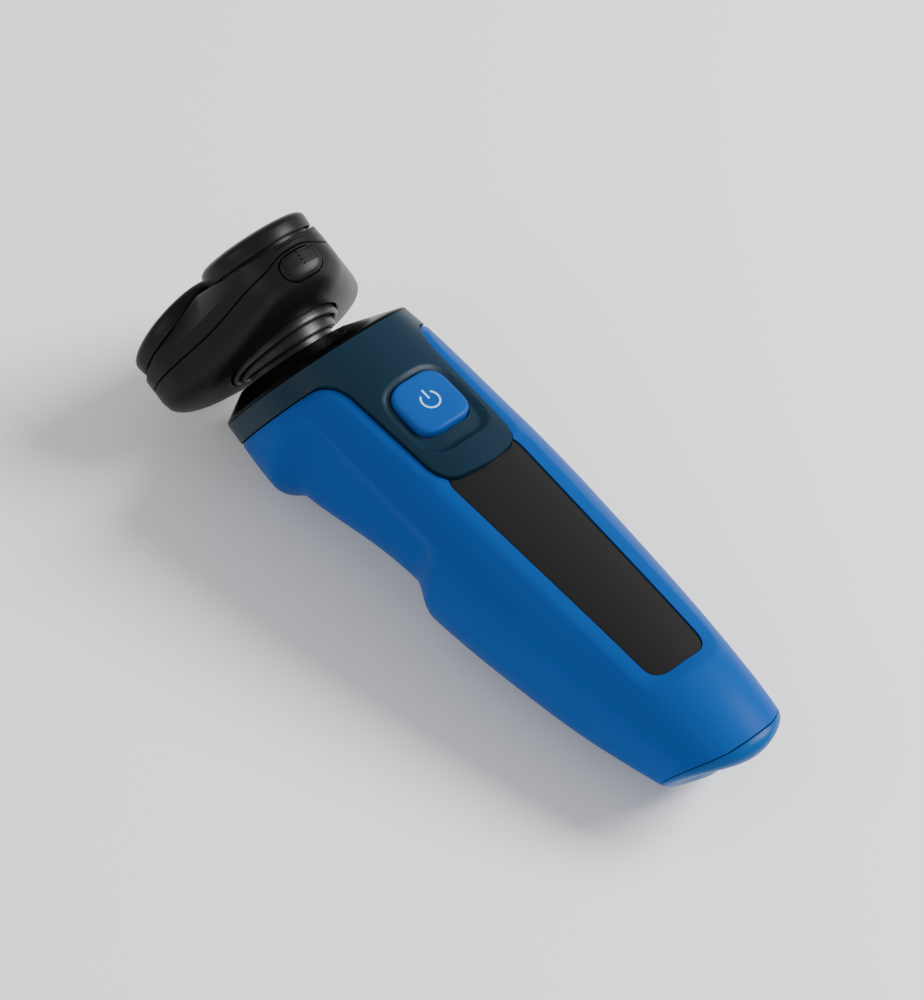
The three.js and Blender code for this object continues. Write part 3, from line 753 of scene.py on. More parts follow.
    def build_panel(self) -> None:
        """The dark collar and its tongue with the dish."""
        panel = self.skin("front_panel_skin", np.linspace(-26, 44, 190), 288, self.panel_relief)
        region = self.half_space(-self.collar_depth).item("region")
        carve(region, Cut.ADD, Solid.prism(self.tongue(0), -9, 6))
        work_in(panel, Cut.KEEP, region)
        carve(panel, Cut.AWAY, Solid.prism(self.button_outline(GAP), -12, 4))
        settle(panel, Place(), "handle", self.palette.navy, ["front_panel"])

    def build_display(self) -> None:
        """The dark display window, sunk below the lips."""
        xs = np.linspace(30, 104, 75)
        lens = self.form.body(xs, 160, 1.15).item("display_pane")
        carve(lens, Cut.AWAY, self.form.body(xs + np.linspace(-1, 1, 75), 64, 2.5))
        carve(lens, Cut.KEEP, Solid.prism(self.frame_of_window(-0.05), -12, 4))
        carve(lens, Cut.AWAY, Solid.prism(self.tongue(0.15), -9, 6))
        settle(lens, Place(), "handle", self.palette.lens, ["display_window"])

    def button_top(self, flat: np.ndarray) -> np.ndarray:
        """Height of the button's soft top."""
        middle = np.linalg.norm((flat - (self.button_x, 0)) / self.button_half, axis=1)
        return self.form.top(self.button_x, flat[:, 1]) * 0.75 + 0.2 - 0.22 * ease(1 - middle)

    def build_button(self) -> None:
        """The power button with its mark."""
        rings = []
        for grow, drop in ((0, 4.0), (0, 0.75), (-0.07, 0.42), (-0.22, 0.18), (-0.5, 0.03), (-0.8, 0.0)):
            flat = self.button_outline(grow).ring
            rings.append(np.column_stack([flat, self.button_top(flat) - drop]))
        for share in np.linspace(0.82, 0.06, 14):
            flat = self.button_outline(0).scaled(share)
            rings.append(np.column_stack([flat, self.button_top(flat)]))
        button = Solid.loft(rings).item("power_key")
        carve(button, Cut.ADD, Solid.prism(self.button_outline(0.9), -4.6, -3.7),
              Solid.box((self.button_x - 1.5, self.button_x + 1.5), (-1.5, 1.5), (-5.4, -4.7)))
        settle(button, Place(), "power_button", self.palette.button, ["power_button"])
        settle(self.power_mark(), Place(), "power_button", self.palette.mark)

    def power_mark(self) -> bpy.types.Object:
        """The printed power sign: a broken ring and a bar, open towards the head.

        Returns:
            The sign.
        """
        centre, stroke = np.array([self.button_x - 0.1, 0]), 0.2
        turn = np.radians(np.linspace(180 + 38, 540 - 38, 56))
        ring = np.column_stack([np.cos(turn), np.sin(turn)])
        bar = np.column_stack([np.linspace(-0.35, -2.75, 8), np.zeros(8)])
        items = [self._ribbon(centre + ring * 2.04, ring * stroke),
                 self._ribbon(centre + bar, np.tile([0, stroke], (8, 1)))]
        points = np.concatenate([items[0].points, items[1].points])
        faces = items[0].faces + [tuple(i + len(items[0].points) for i in f) for f in items[1].faces]
        return Solid(points, faces).item("power_mark")

    def _ribbon(self, path: np.ndarray, half: np.ndarray) -> Solid:
        """A thin printed stroke along a flat path on the button.

        Args:
            path: flat points along the stroke.
            half: half its width at each point, as a flat step.

        Returns:
            The stroke.
        """
        rings = []
        for p, h in zip(path, half):
            flat = np.array([p - h, p + h, p + h, p - h])
            lift = np.array([-0.05, -0.05, 0.03, 0.03])
            rings.append(np.column_stack([flat, self.button_top(flat) + lift]))
        return Solid.loft(rings)

    def build_foot(self) -> None:
        """The lighter blue foot with the socket's mouth."""
        f = self.form
        steps = ((f.foot + 0.25, 0.05), (f.foot + 0.9, 0.02), (119.9, 0.12), (120.6, 0.42), (121.2, 0.95),
                 (121.7, 1.65), (122.1, 2.5), (f.end, 3.5))
        cap = Solid.loft([f.grid(np.array([x]), 192, inset)[0] for x, inset in steps]).item("foot_cap")
        mouth = Solid.prism(Outline.rounded(103, 136, 4.35, 4.35, 0.1, 4), -18.4, -13.3)
        spigot = f.body(np.linspace(112, f.foot + 1, 8), 128, WALL + 0.45)
        carve(cap, Cut.ADD, spigot)
        carve(cap, Cut.AWAY, f.body(np.linspace(111, f.foot - 1.4, 8), 64, WALL + 1.8), mouth)
        settle(cap, Place(), "handle", self.palette.cyan, ["end_cap"])
        inlet = Solid.box((105.5, 122), (-4.3, 4.3), (-18.35, -13.35)).item("inlet_shell")
        inside = Solid.loft([f.grid(np.array([x - 1.1]), 128, inset + 0.9)[0]
                             for x, inset in ((106, 0), *steps)])
        carve(inlet, Cut.KEEP, inside)
        carve(inlet, Cut.AWAY, Solid.box((106.5, 130), (-3.6, 3.6), (-17.7, -14.0)))
        settle(inlet, Place(), "handle", self.palette.black, ["charging_socket"])


# ---------------------------------------------------------------- shoulder and neck
@dataclass
class Neck:
    """The black shoulder and the three flexing rings."""

    palette: Palette
    form: HandleForm = field(default_factory=HandleForm)
    plateau: float = 13.4
    forward: float = NECK_FORWARD
    rise: float = 4.0
    crest: float = 4.65
    pivot_rise: float = PIVOT_RISE
    lean: float = 0.0875

    def shoulder_ring(self, height: float, inset: float, count: int = 256) -> np.ndarray:
        """Where the skin meets a plane over the shoulder, as points in the shoulder's frame.

        Args:
            height: the plane over the shoulder.
            inset: how far inside the skin.
            count: points round the ring.

        Returns:
            The ring.
        """
        turn = 2 * np.pi * np.arange(count) / count
        origin = np.array([self.forward + 6, 0])
        low, high = np.zeros(count), np.full(count, 60.0)
        for _ in range(36):
            middle = (low + high) / 2
            local = np.column_stack([origin[0] + middle * np.cos(turn), middle * np.sin(turn),
                                     np.full(count, height)])
            p = Handle.SHOULDER.points(local)
            a, zw = curve(self.form.half_width, p[:, 0]) - inset, curve(self.form.widest, p[:, 0])
            over = p[:, 2] > zw
            up, down = curve(self.form.front, p[:, 0]) - zw, zw - curve(self.form.back, p[:, 0])
            b = np.where(over, up, down) - inset
            power = np.where(over, self.form.front_power, self.form.back_power)
            inside = np.abs(p[:, 1] / a) ** power + np.abs((p[:, 2] - zw) / b) ** power < 1
            low, high = np.where(inside, middle, low), np.where(inside, high, middle)
        return np.column_stack([origin[0] + low * np.cos(turn), low * np.sin(turn), np.full(count, height)])

    def build(self) -> None:
        """Make the shoulder and the rings."""
        self.build_shoulder()
        self.build_rings()

    def build_shoulder(self) -> None:
        """The sloping black top between the collar and the neck."""
        foot = self.shoulder_ring(0.0, 0.05)
        turn = 2 * np.pi * np.arange(len(foot)) / len(foot)
        top = np.column_stack([self.forward + self.plateau * np.cos(turn), self.plateau * np.sin(turn),
                               np.full(len(foot), self.crest)])
        rings = []
        slope = ((0.0, 0.15), (0.012, 0.45), (0.03, 0.68), (0.34, 1.96), (0.66, 3.28), (0.97, 4.5))
        for share, lift in slope:
            ring = foot * (1 - share) + top * share
            ring[:, 2] = lift
            rings.append(ring)
        lip = (top[:, :2] - (self.forward, 0)) * 0.97 + (self.forward, 0)
        rings += [top - (0, 0, 0.03), np.column_stack([lip, top[:, 2]])]
        cap = Solid.loft(rings).item("shoulder_top")
        hollow = Solid.post(((self.plateau + 3, -0.7), (self.plateau - 1.6, self.crest - 1.6)))
        hole = Solid.post(((9.4, -8), (9.4, 20)))
        at = Place.turned("Z", 0, (self.forward, 0, 0))
        carve(cap, Cut.AWAY, hollow.at(at), hole.at(at))
        settle(cap, Handle.SHOULDER, "handle", self.palette.piano, ["shoulder_cap"], 24)

    @staticmethod
    def wedge(profile: Sequence[tuple[float, float, float]], segments: int = 128) -> Solid:
        """A turned ring whose height leans across it.

        Args:
            profile: radius, height and lean for each point of the closed section.
            segments: steps round the axis.

        Returns:
            The ring.
        """
        ring = Solid.lathe([(r, z) for r, z, _ in profile], segments)
        lean = np.tile([k for _, _, k in profile], segments)
        ring.points[:, 2] += lean * ring.points[:, 0]
        return ring

    def build_rings(self) -> None:
        """The stacked rings, each turned a little towards the head."""
        origin = Handle.SHOULDER.points(np.array([self.forward, 0, self.rise]))
        pivot = Handle.SHOULDER.points(np.array([self.forward, 0, self.pivot_rise]))
        k = self.lean
        low = self.wedge(((6.4, -1.2, 0), (9.1, -1.2, 0), (9.1, 0.1, 0), (9.7, 0.12, 0), (9.96, 0.3, 0),
                          (10.02, 0.6, 0), (10.02, 2.5, 0.8 * k), (9.9, 3.0, k), (9.6, 3.24, k),
                          (9.2, 3.28, k), (6.4, 3.28, k)))
        settle(low.item("neck_ring_low"), Place.tilted(SHOULDER_TILT, origin), "handle",
               self.palette.rubber, ["neck_base_ring"], 50)
        middle = self.wedge(((7.4, 1.45, 0), (10.4, 1.4, 0), (10.5, -0.5, -0.6 * k), (10.6, -0.86, -k),
                             (10.85, -1.0, -k), (11.3, -1.0, -k), (11.56, -0.8, -k), (11.64, -0.4, -0.6 * k),
                             (11.66, 1.2, 0.4 * k), (11.58, 1.7, 0.8 * k), (11.3, 1.95, 0.8 * k),
                             (10.8, 2.02, 0.8 * k), (7.4, 1.97, 0)))
        settle(middle.item("neck_ring_middle"), Place.tilted(MIDDLE_TILT, pivot), "neck_gimbal",
               self.palette.rubber, ["neck_middle_ring"], 50)
        h = 0.75 * k
        upper = self.wedge(((12.5, 1.2, 0), (12.55, 0.55, -h), (12.75, 0.27, -h), (13.05, 0.23, -h),
                            (13.32, 0.43, -h), (13.42, 0.95, -0.6 * h), (13.42, 2.0, 0), (13.3, 2.5, 0),
                            (13.1, 2.8, 0), (13.1, 4.0, 0), (12.5, 4.0, 0)))
        settle(upper.item("neck_ring_high"), Place.tilted(HEAD_TILT, pivot), "head",
               self.palette.rubber, ["neck_upper_ring"], 50)


# ---------------------------------------------------------------- the head
@dataclass(frozen=True)
class LobeForm:
    """The three-lobed outline of the head."""

    reach: float = 15.0
    radius: float = 13.17
    facet_from: float = 24.0

    @staticmethod
    def off_lobe(turn: np.ndarray) -> np.ndarray:
        """How far each direction is from the nearest lobe's middle."""
        return np.abs((turn + np.pi / 3) % (2 * np.pi / 3) - np.pi / 3)

    @staticmethod
    def drawn_in(flat: np.ndarray, by: float) -> np.ndarray:
        """Flat points moved towards the middle by a distance."""
        return flat * (1 - by / np.linalg.norm(flat, axis=1))[:, None]

    def outline(self, turn: np.ndarray, radius: float, valley: float = 0.0) -> np.ndarray:
        """Flat points of the outline.

        Args:
            turn: directions from the head's middle.
            radius: radius of each lobe.
            valley: how deep the hollow between lobes is.

        Returns:
            One flat point per direction.
        """
        off = self.off_lobe(turn)
        third = math.pi / 3
        joint = math.atan2(radius * math.sin(third), self.reach + radius * math.cos(third))
        root = np.sqrt(np.maximum(radius ** 2 - (self.reach * np.sin(off)) ** 2, 0))
        straight = (self.reach * math.cos(third) + radius) / np.cos(third - off)
        r = np.where(off <= joint, self.reach * np.cos(off) + root, straight)
        start = math.radians(self.facet_from)
        hollow = np.clip((off - start) / (third - start), 0, 1) ** 0.85
        return (r - valley * hollow)[:, None] * np.column_stack([np.cos(turn), np.sin(turn)])


@dataclass
class Head:
    """The hair chamber, the cap holder, the release button and the shaving caps."""

    palette: Palette
    lobes: LobeForm = field(default_factory=LobeForm)
    seam: float = 9.75
    crown: float = 17.7
    cap_tilt: float = 10.0
    roof_drop: float = 1.35
    roof_tilt: float = 14.0
    crease: float = 12.3
    valley: float = 4.4
    hinge: tuple[float, float] = (-22.9, 10.25)
    count: int = 360
    edge_break: float = 0.2
    seam_gap: float = 0.25
    bore: float = 1.05
    barrel: float = 1.6
    web_end: float = -19.4

    def __post_init__(self) -> None:
        """Fix the head's frame on the neck's pivot."""
        pivot = Handle.SHOULDER.points(np.array([NECK_FORWARD, 0, PIVOT_RISE]))
        self.place = Place.tilted(HEAD_TILT, pivot)
        self.turn = 2 * np.pi * np.arange(self.count) / self.count

    def ring(self, radius: float, z: float, valley: float = 0.0) -> np.ndarray:
        """One lobed ring at a height."""
        flat = self.lobes.outline(self.turn, radius, valley)
        return np.column_stack([flat, np.broadcast_to(z, (self.count,))])

    def seam_line(self) -> np.ndarray:
        """Height of the seam round the head: an arch over the button, lower between the lobes.

        Returns:
            One height per direction.
        """
        off = self.lobes.off_lobe(self.turn)
        flat = self.lobes.outline(self.turn, self.lobes.radius)
        arch = np.where(flat[:, 0] > 0, np.exp(-(np.abs(flat[:, 1]) / 6.0) ** 4), 0)
        back = ease(-flat[:, 0] / 16)
        return self.seam - 0.8 * ((1 - np.cos(3 * off)) / 2) ** 2 * (1 - back) + 1.3 * arch + 0.35 * back

    def roof(self, flat: np.ndarray) -> np.ndarray:
        """Height of the holder's top, the lowest of the three cap planes, over flat points.

        Args:
            flat: the flat points.

        Returns:
            One height per point.
        """
        slope = math.tan(math.radians(self.roof_tilt))
        planes = [self.crown - self.roof_drop - slope * (flat @ (math.cos(a), math.sin(a)) - self.lobes.reach)
                  for a in (0, 2 * math.pi / 3, -2 * math.pi / 3)]
        return np.min(planes, axis=0)

    def cap_place(self, lobe: int) -> Place:
        """Frame of one shaving cap inside the head."""
        lean = Place.turned("Y", self.cap_tilt, (self.lobes.reach, 0, self.crown))
        return Place.turned("Z", 120 * lobe).then(lean)

    def knuckle(self, y0: float, y1: float, z0: float, z1: float) -> list[Solid]:
        """One hinge knuckle: a barrel on the pin and the web behind it.

        Args:
            y0: one end along the pin.
            y1: the other end.
            z0: bottom of the web.
            z1: top of the web.

        Returns:
            The barrel and the web.
        """
        x, z = self.hinge
        r, b = self.barrel, self.edge_break
        barrel = Solid.post(((r - b, 0), (r, b), (r, y1 - y0 - b), (r - b, y1 - y0)), 32)
        lay = Place.turned("X", -90, (x, y0, z))
        return [barrel.at(lay), Solid.box((x, self.web_end), (y0 + b, y1 - b), (z0, z1))]

    def pin_bore(self) -> Solid:
        """The hole along the hinge."""
        x, z = self.hinge
        return Solid.post(((self.bore, 0), (self.bore, 40)), 24).at(Place.turned("X", -90, (x, -20, z)))

    def build(self) -> None:
        """Make every piece of the head."""
        self.build_chamber()
        self.build_holder()
        self.build_release()
        for lobe in range(3):
            ShavingCap(self.palette, self.place.then(self.cap_place(lobe)), lobe + 1).build()

    def build_chamber(self) -> None:
        """The bowl that catches hair, from the neck opening up to the seam."""
        line = self.seam_line()
        flat = self.lobes.outline(self.turn, self.lobes.radius)
        circle = np.column_stack([np.cos(self.turn), np.sin(self.turn)])
        lip, low, high, power = 14.9, 1.35, 7.2, 2.3
        rings = [np.column_stack([circle * r, np.full(self.count, z)])
                 for r, z in ((14.0, 1.5), (14.35, 1.3))]
        for step in np.linspace(0.02, 1, 26):
            out = step ** 0.9
            rise = 1 - (1 - out ** power) ** (1 / power)
            rings.append(np.column_stack([circle * lip * (1 - out) + flat * out,
                                          np.full(self.count, low + (high - low) * rise)]))
        edge = self.lobes.drawn_in(flat, self.edge_break)
        rings += [np.column_stack([flat, line - 0.2]), np.column_stack([edge, line])]
        chamber = Solid.loft(rings).item("hair_bowl")
        inner = [self.ring(9, 5.0), self.ring(11.7, 7.0), self.ring(11.7, 13.0)]
        neck = Solid.post(((14.15, -2), (13.95, 4.1)), 96)
        carve(chamber, Cut.AWAY, Solid.loft(inner), neck, Solid.post(((3.4, -5), (3.4, 12)), 48),
              self.button_pocket(self.seam_gap))
        carve(chamber, Cut.ADD, *self.knuckle(-6.2, -2.9, 7.5, 9.8), *self.knuckle(2.9, 6.2, 7.5, 9.8))
        carve(chamber, Cut.AWAY, self.pin_bore())
        settle(chamber, self.place, "head", self.palette.black, ["hair_chamber"], 30)

    def build_holder(self) -> None:
        """The cap holder above the seam, hollowed between the lobes."""
        line = self.seam_line() + self.seam_gap
        flat = self.lobes.outline(self.turn, self.lobes.radius)
        edge = self.lobes.drawn_in(flat, self.edge_break)
        rings = [np.column_stack([edge, line]), np.column_stack([flat, line + 0.2]),
                 np.column_stack([flat, line + 1.4]), self.ring(self.lobes.radius, self.crease)]
        top = self.lobes.outline(self.turn, self.lobes.radius, self.valley)
        peak = self.roof(top)
        for share in np.linspace(0.12, 0.96, 8):
            side = self.lobes.outline(self.turn, self.lobes.radius, self.valley * share)
            rings.append(np.column_stack([side, self.crease * (1 - share) + (peak - 0.15) * share]))
        for inwards in (0.25, 0.6, 3.0, 8.0):
            inner_ring = self.lobes.drawn_in(top, inwards)
            rings.append(np.column_stack([inner_ring, self.roof(inner_ring)]))
        rings.append(np.column_stack([top * 0.08, self.roof(top * 0.08)]))
        holder = Solid.loft(rings).item("cap_holder")
        inner = Solid.loft([self.ring(11.5, 6.0), self.ring(11.5, 12.0, 1.2), self.ring(9.2, 15.0, 2.8)])
        holes = [Solid.post(((11.9, -8), (11.9, 12)), 96).at(self.cap_place(lobe)) for lobe in range(3)]
        carve(holder, Cut.AWAY, inner, *holes)
        carve(holder, Cut.ADD, *self.knuckle(-2.6, 2.6, 10.7, 13.1))
        carve(holder, Cut.AWAY, self.pin_bore())
        settle(holder, self.place, "holder", self.palette.black, ["head_holder"], 26)

    def button_pocket(self, grow: float) -> Solid:
        """The opening in the bowl for the release button."""
        return Solid.loft([self.shield(grow, x) for x in (23.2, 31.0)])

    def shield(self, grow: float, x: float) -> np.ndarray:
        """The release button's rounded outline, standing across the head.

        Args:
            grow: how far outside the button.
            x: where it stands.

        Returns:
            The outline as a ring of points.
        """
        turn = 2 * np.pi * np.arange(72) / 72
        c, s = np.cos(turn), np.sin(turn)
        wide = 4.95 + grow - 1.5 * np.clip(-s, 0, 1)
        y = np.sign(c) * np.abs(c) ** 0.5 * wide
        z = 7.35 + np.sign(s) * np.abs(s) ** 0.62 * (3.05 + grow) - 0.012 * y * y
        return np.column_stack([np.full(72, x), y, z])

    def build_release(self) -> None:
        """The release button, with its finger ribs."""
        rings = []
        for grow, x in ((-0.2, 24.7), (0, 24.9), (0, 28.0), (-0.12, 28.25), (-0.4, 28.42)):
            rings.append(self.shield(grow, x))
        core = self.shield(0, 28.42)
        middle = core.mean(0)
        rings += [middle + (core - middle) * share for share in (0.7, 0.4, 0.1)]
        for ring in rings[2:]:
            ring[:, 0] -= 0.03 * ring[:, 1] ** 2 + 0.085 * np.maximum(7.5 - ring[:, 2], 0) ** 2
        button = Solid.loft(rings).item("release_key")
        settle(button, self.place, "release_button", self.palette.black, ["release_button"], 40)
        ribs = GripRibs().build()
        settle(ribs, self.place, "release_button", self.palette.black, crease=40)


class Tree:
    """A Geometry Nodes tree in the making, with named inputs."""

    def __init__(self, name: str, sizes: dict[str, float | int]) -> None:
        """Start the tree.

        Args:
            name: the tree's name.
            sizes: the named inputs with their values; whole numbers become integer inputs.
        """
        self.group = bpy.data.node_groups.new(name, "GeometryNodeTree")
        self.sizes = sizes
        face = self.group.interface
        face.new_socket("Geometry", in_out="OUTPUT", socket_type="NodeSocketGeometry")
        for label, value in sizes.items():
            kind = "NodeSocketInt" if isinstance(value, int) else "NodeSocketFloat"
            face.new_socket(label, in_out="INPUT", socket_type=kind).default_value = value
        self.given = self.group.nodes.new("NodeGroupInput")

    def node(self, kind: str, **inputs: object) -> bpy.types.Node:
        """Add a node; inputs are values, or output sockets to link from.

        Args:
            kind: the type of node.
            inputs: a value or socket for each named input.

        Returns:
            The node.
        """
        node = self.group.nodes.new(kind)
        for label, value in inputs.items():
            socket = node.inputs[label.replace("_", " ")]
            if isinstance(value, bpy.types.NodeSocket):
                self.group.links.new(value, socket)
            else:
                socket.default_value = value
        return node

    def maths(self, how: str, a: object, b: object = 0.0) -> bpy.types.NodeSocket:
        """A sum on two numbers or sockets.

        Args:
            how: the operation.
            a: first number or socket.
            b: second number or socket.

        Returns:
            The result.
        """
        node = self.group.nodes.new("ShaderNodeMath")
        node.operation = how
        for socket, value in zip(node.inputs, (a, b)):
            if isinstance(value, bpy.types.NodeSocket):
                self.group.links.new(value, socket)
            else:
                socket.default_value = value
        return node.outputs[0]

    def vector(self, x: object = 0.0, y: object = 0.0, z: object = 0.0) -> bpy.types.NodeSocket:
        """Three numbers or sockets joined."""
        return self.node("ShaderNodeCombineXYZ", X=x, Y=y, Z=z).outputs[0]

    def grown(self, name: str, instances: bpy.types.NodeSocket,
              look: bpy.types.Material | None) -> bpy.types.Object:
        """Finish the tree and run it once.

        Args:
            name: the object's name.
            instances: what the tree has made.
            look: its material, or none.

        Returns:
            The plain mesh.
        """
        real = self.node("GeometryNodeRealizeInstances", Geometry=instances)
        dress = self.node("GeometryNodeSetMaterial", Geometry=real.outputs["Geometry"])
        dress.inputs["Material"].default_value = look
        out = self.group.nodes.new("NodeGroupOutput")
        self.group.links.new(dress.outputs["Geometry"], out.inputs[0])
        item = bpy.data.objects.new(name, bpy.data.meshes.new(name))
        bpy.context.scene.collection.objects.link(item)
        live = item.modifiers.new(name, "NODES")
        live.node_group = self.group
        for socket in self.group.interface.items_tree:
            if socket.in_out == "INPUT":
                live[socket.identifier] = self.sizes[socket.name]
        return baked(item)


@dataclass(frozen=True)
class GripRibs:
    """The short ribs across the release button."""

    rows: int = 4
    pitch: float = 0.95
    width: float = 3.6
    thick: float = 0.32
    deep: float = 0.6
    start: tuple[float, float, float] = (28.24, 1.9, 6.9)
    turn: float = 0.114

    def build(self) -> bpy.types.Object:
        """Grow the ribs in the head's frame.

        Returns:
            The ribs as one plain mesh.
        """
        tree = Tree("rib_rows", {"Rows": self.rows, "Pitch": self.pitch, "Width": self.width,
                                 "Thick": self.thick})
        size = tree.given.outputs
        line = tree.node("GeometryNodeMeshLine", Count=size["Rows"], Offset=tree.vector(z=size["Pitch"]),
                         Start_Location=self.start)
        bar = tree.node("GeometryNodeMeshCube", Size=tree.vector(self.deep, size["Width"], size["Thick"]))
        put = tree.node("GeometryNodeInstanceOnPoints", Points=line.outputs["Mesh"],
                        Instance=bar.outputs["Mesh"], Rotation=(0.0, 0.0, self.turn))
        return tree.grown("release_ribs", put.outputs["Instances"], None)


@dataclass
class ShavingCap:
    """One round cap: its dark ring, the slotted steel track and the middle disc."""

    palette: Palette
    place: Place
    number: int
    bars: int = 84
    inner: float = 5.1
    outer: float = 8.75
    top: float = 3.2
    skirt_lean: float = 4
    skirt_out: float = 11.455
    tilt_room: float = 0.064
    segments: int = 160
    bar_thick: float = 0.24
    bar_deep: float = 0.5
    bar_drop: float = 0.29
    bar_turn: float = 0.22

    def build(self) -> None:
        """Make the ring, the track and the bars between the slots."""
        body = f"cap_{self.number}"
        k = -math.tan(math.radians(self.skirt_lean))
        profile = ((9.95, -2.0, 0), (11.45, -2.0, 0), (11.46, -1.2, k), (12.3, -1.24, k), (12.6, -1.22, k),
                   (12.74, -1.0, k), (12.78, -0.1, 0.5 * k), (12.76, 1.2, 0), (12.62, 1.75, 0),
                   (12.3, 2.18, 0), (11.8, 2.52, 0), (11.1, 2.8, 0), (10.4, 2.97, 0),
                   (10.1, 3.0, 0), (9.98, 2.9, 0))
        ring = Neck.wedge(profile, self.segments)
        room = [self.tilt_room * (r > self.skirt_out) * min(max(-z, 0), 1) for r, z, _ in profile]
        room = np.tile(room, self.segments)
        ring.points[:, 2] += room * np.abs(ring.points[:, 0])
        settle(ring.item(f"cap_rim_{self.number}"), self.place, body, self.palette.black,
               [f"cap_ring_{self.number}"], 35)
        top, bed = self.top, self.top - 0.6
        rim = Solid.lathe(((self.outer, bed), (9.2, bed), (9.3, -1.5), (9.6, -1.5), (9.6, 2.35),
                           (9.45, 2.7), (9.2, top - 0.03), (self.outer, top)), 96)
        hub = Solid.post(((2.0, top - 1.1), (4.3, top - 1.1), (4.5, bed), (self.inner, bed),
                          (self.inner, top), (4.7, top - 0.02), (4.4, top - 0.35),
                          (3.9, top - 0.42), (0.6, top - 0.30)), 72)
        track = rim.item(f"cap_track_{self.number}")
        carve(track, Cut.ADD, hub)
        settle(track, self.place, body, self.palette.foil, [f"shaving_cap_{self.number}"], 35)
        settle(self.slotted(), self.place, body, self.palette.foil, crease=35)
        badge = Solid.post(((3.3, top - 0.45), (3.4, top - 0.22), (3.2, top - 0.12), (0.3, top - 0.06)), 64)
        settle(badge.item(f"cap_badge_{self.number}"), self.place, body, self.palette.navy,
               crease=35)

    def slotted(self) -> bpy.types.Object:
        """The fine bars of the track; the gaps between them are the slots.

        Returns:
            The bars as one plain mesh.
        """
        tree = Tree("slot_track", {"Bars": self.bars, "Inner": self.inner, "Outer": self.outer,
                                   "Top": self.top, "Thick": self.bar_thick})
        size = tree.given.outputs
        middle = tree.maths("MULTIPLY", tree.maths("ADD", size["Inner"], size["Outer"]), 0.5)
        length = tree.maths("ADD", tree.maths("SUBTRACT", size["Outer"], size["Inner"]), 0.3)
        circle = tree.node("GeometryNodeMeshCircle", Vertices=size["Bars"], Radius=middle)
        bar = tree.node("GeometryNodeMeshCube", Size=tree.vector(length, size["Thick"], self.bar_deep))
        spread = tree.node("GeometryNodeInputIndex").outputs[0]
        turn = tree.maths("DIVIDE", tree.maths("MULTIPLY", spread, 2 * math.pi), size["Bars"])
        put = tree.node("GeometryNodeInstanceOnPoints", Points=circle.outputs["Mesh"],
                        Instance=bar.outputs["Mesh"],
                        Rotation=tree.vector(z=tree.maths("ADD", turn, self.bar_turn)))
        lift = tree.node("GeometryNodeTransform", Geometry=put.outputs["Instances"],
                         Translation=tree.vector(z=tree.maths("SUBTRACT", size["Top"], self.bar_drop)))
        return tree.grown(f"cap_bars_{self.number}", lift.outputs["Geometry"], self.palette.foil)


# ---------------------------------------------------------------- the studio
@dataclass(frozen=True)
class Lamp:
    """A soft area light given by its place in the viewer's directions."""

    name: str
    right: float
    up: float
    near: float
    size: float
    power: float


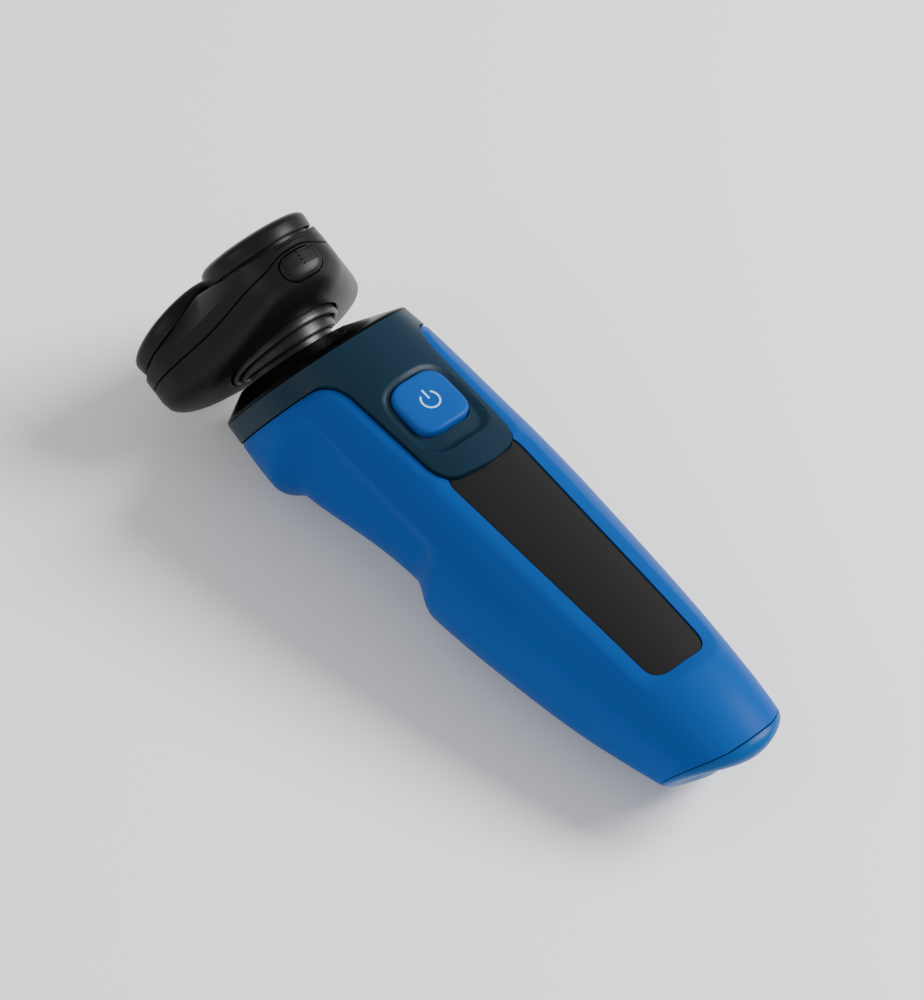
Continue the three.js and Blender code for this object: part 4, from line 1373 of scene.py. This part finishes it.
@dataclass
class Studio:
    """Floor, soft lights and the camera."""

    right: tuple[float, float, float] = (0.6748, 0.737, 0.0448)
    down: tuple[float, float, float] = (0.5646, -0.473, -0.6769)
    toward: tuple[float, float, float] = (0.4774, -0.482, 0.735)
    target: tuple[float, float, float] = (-1.201, -1.158, 24.912)
    away: float = 800.0
    lens: float = 139.97
    floor_reach: float = 3.0
    sky: float = 0.55
    lamps: tuple[Lamp, ...] = (
        Lamp("key", 0.78, 0.52, 0.34, 0.50, 19.0),
        Lamp("fill", -0.70, 0.10, 0.65, 0.6, 2.2),
        Lamp("front", -0.1, -0.60, 0.7, 0.7, 2.4),
    )

    def build(self) -> None:
        """Make the floor, the world, the lights and the camera."""
        self.build_floor()
        for lamp in self.lamps:
            self.hang(lamp)
        self.build_camera()

    def build_floor(self) -> None:
        """A plain pale floor and an even pale surrounding."""
        mesh = bpy.data.meshes.new("floor")
        r = self.floor_reach
        mesh.from_pydata([(-r, -r, 0), (r, -r, 0), (r, r, 0), (-r, r, 0)], [], [(0, 1, 2, 3)])
        floor = bpy.data.objects.new("floor", mesh)
        bpy.context.scene.collection.objects.link(floor)
        mesh.materials.append(Finish("floor_paper", (0.90, 0.90, 0.90), (0.89, 0.89, 0.89), rough=(0.7, 0.8),
                                     depth=0.0, drift=3.0, specular=0.2).material())
        world = bpy.data.worlds.new("studio")
        world.use_nodes = True
        sky = world.node_tree.nodes["Background"]
        sky.inputs["Color"].default_value = (1.0, 1.0, 1.0, 1)
        sky.inputs["Strength"].default_value = self.sky
        bpy.context.scene.world = world

    def hang(self, lamp: Lamp) -> None:
        """Hang one area light, facing the shaver.

        Args:
            lamp: the light.
        """
        aim = np.array(self.target) / METRE
        right, down, toward = (np.array(way) for way in (self.right, self.down, self.toward))
        way = right * lamp.right - down * lamp.up + toward * lamp.near
        spot = aim + way
        data = bpy.data.lights.new(lamp.name, "AREA")
        data.shape, data.size, data.energy = "DISK", lamp.size, lamp.power
        item = bpy.data.objects.new(lamp.name, data)
        z = way / np.linalg.norm(way)
        x = np.cross((0.0, 0.0, 1.0), z)
        x /= np.linalg.norm(x)
        y = np.cross(z, x)
        item.matrix_world = Matrix(np.vstack([np.column_stack([x, y, z, spot]), (0, 0, 0, 1)]).tolist())
        bpy.context.scene.collection.objects.link(item)

    def build_camera(self) -> None:
        """The camera, above and in front of the shaver's left side."""
        data = bpy.data.cameras.new("camera")
        data.lens, data.clip_start, data.clip_end = self.lens, 0.01, 20
        item = bpy.data.objects.new("camera", data)
        spot = (np.array(self.target) + self.away * np.array(self.toward)) / METRE
        axes = np.column_stack([self.right, -np.array(self.down), self.toward, spot])
        item.matrix_world = Matrix(np.vstack([axes, (0, 0, 0, 1)]).tolist())
        bpy.context.scene.collection.objects.link(item)
        bpy.context.scene.camera = item


def main() -> None:
    """Load the frame, build and dress the shaver, and light it."""
    logging.basicConfig(level=logging.INFO, format="%(name)s: %(message)s")
    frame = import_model()
    palette = Palette()
    palette.dress_nodes(frame)
    Studio().build()
    Handle(palette).build()
    Neck(palette).build()
    Head(palette).build()


if __name__ == "__main__":
    main()
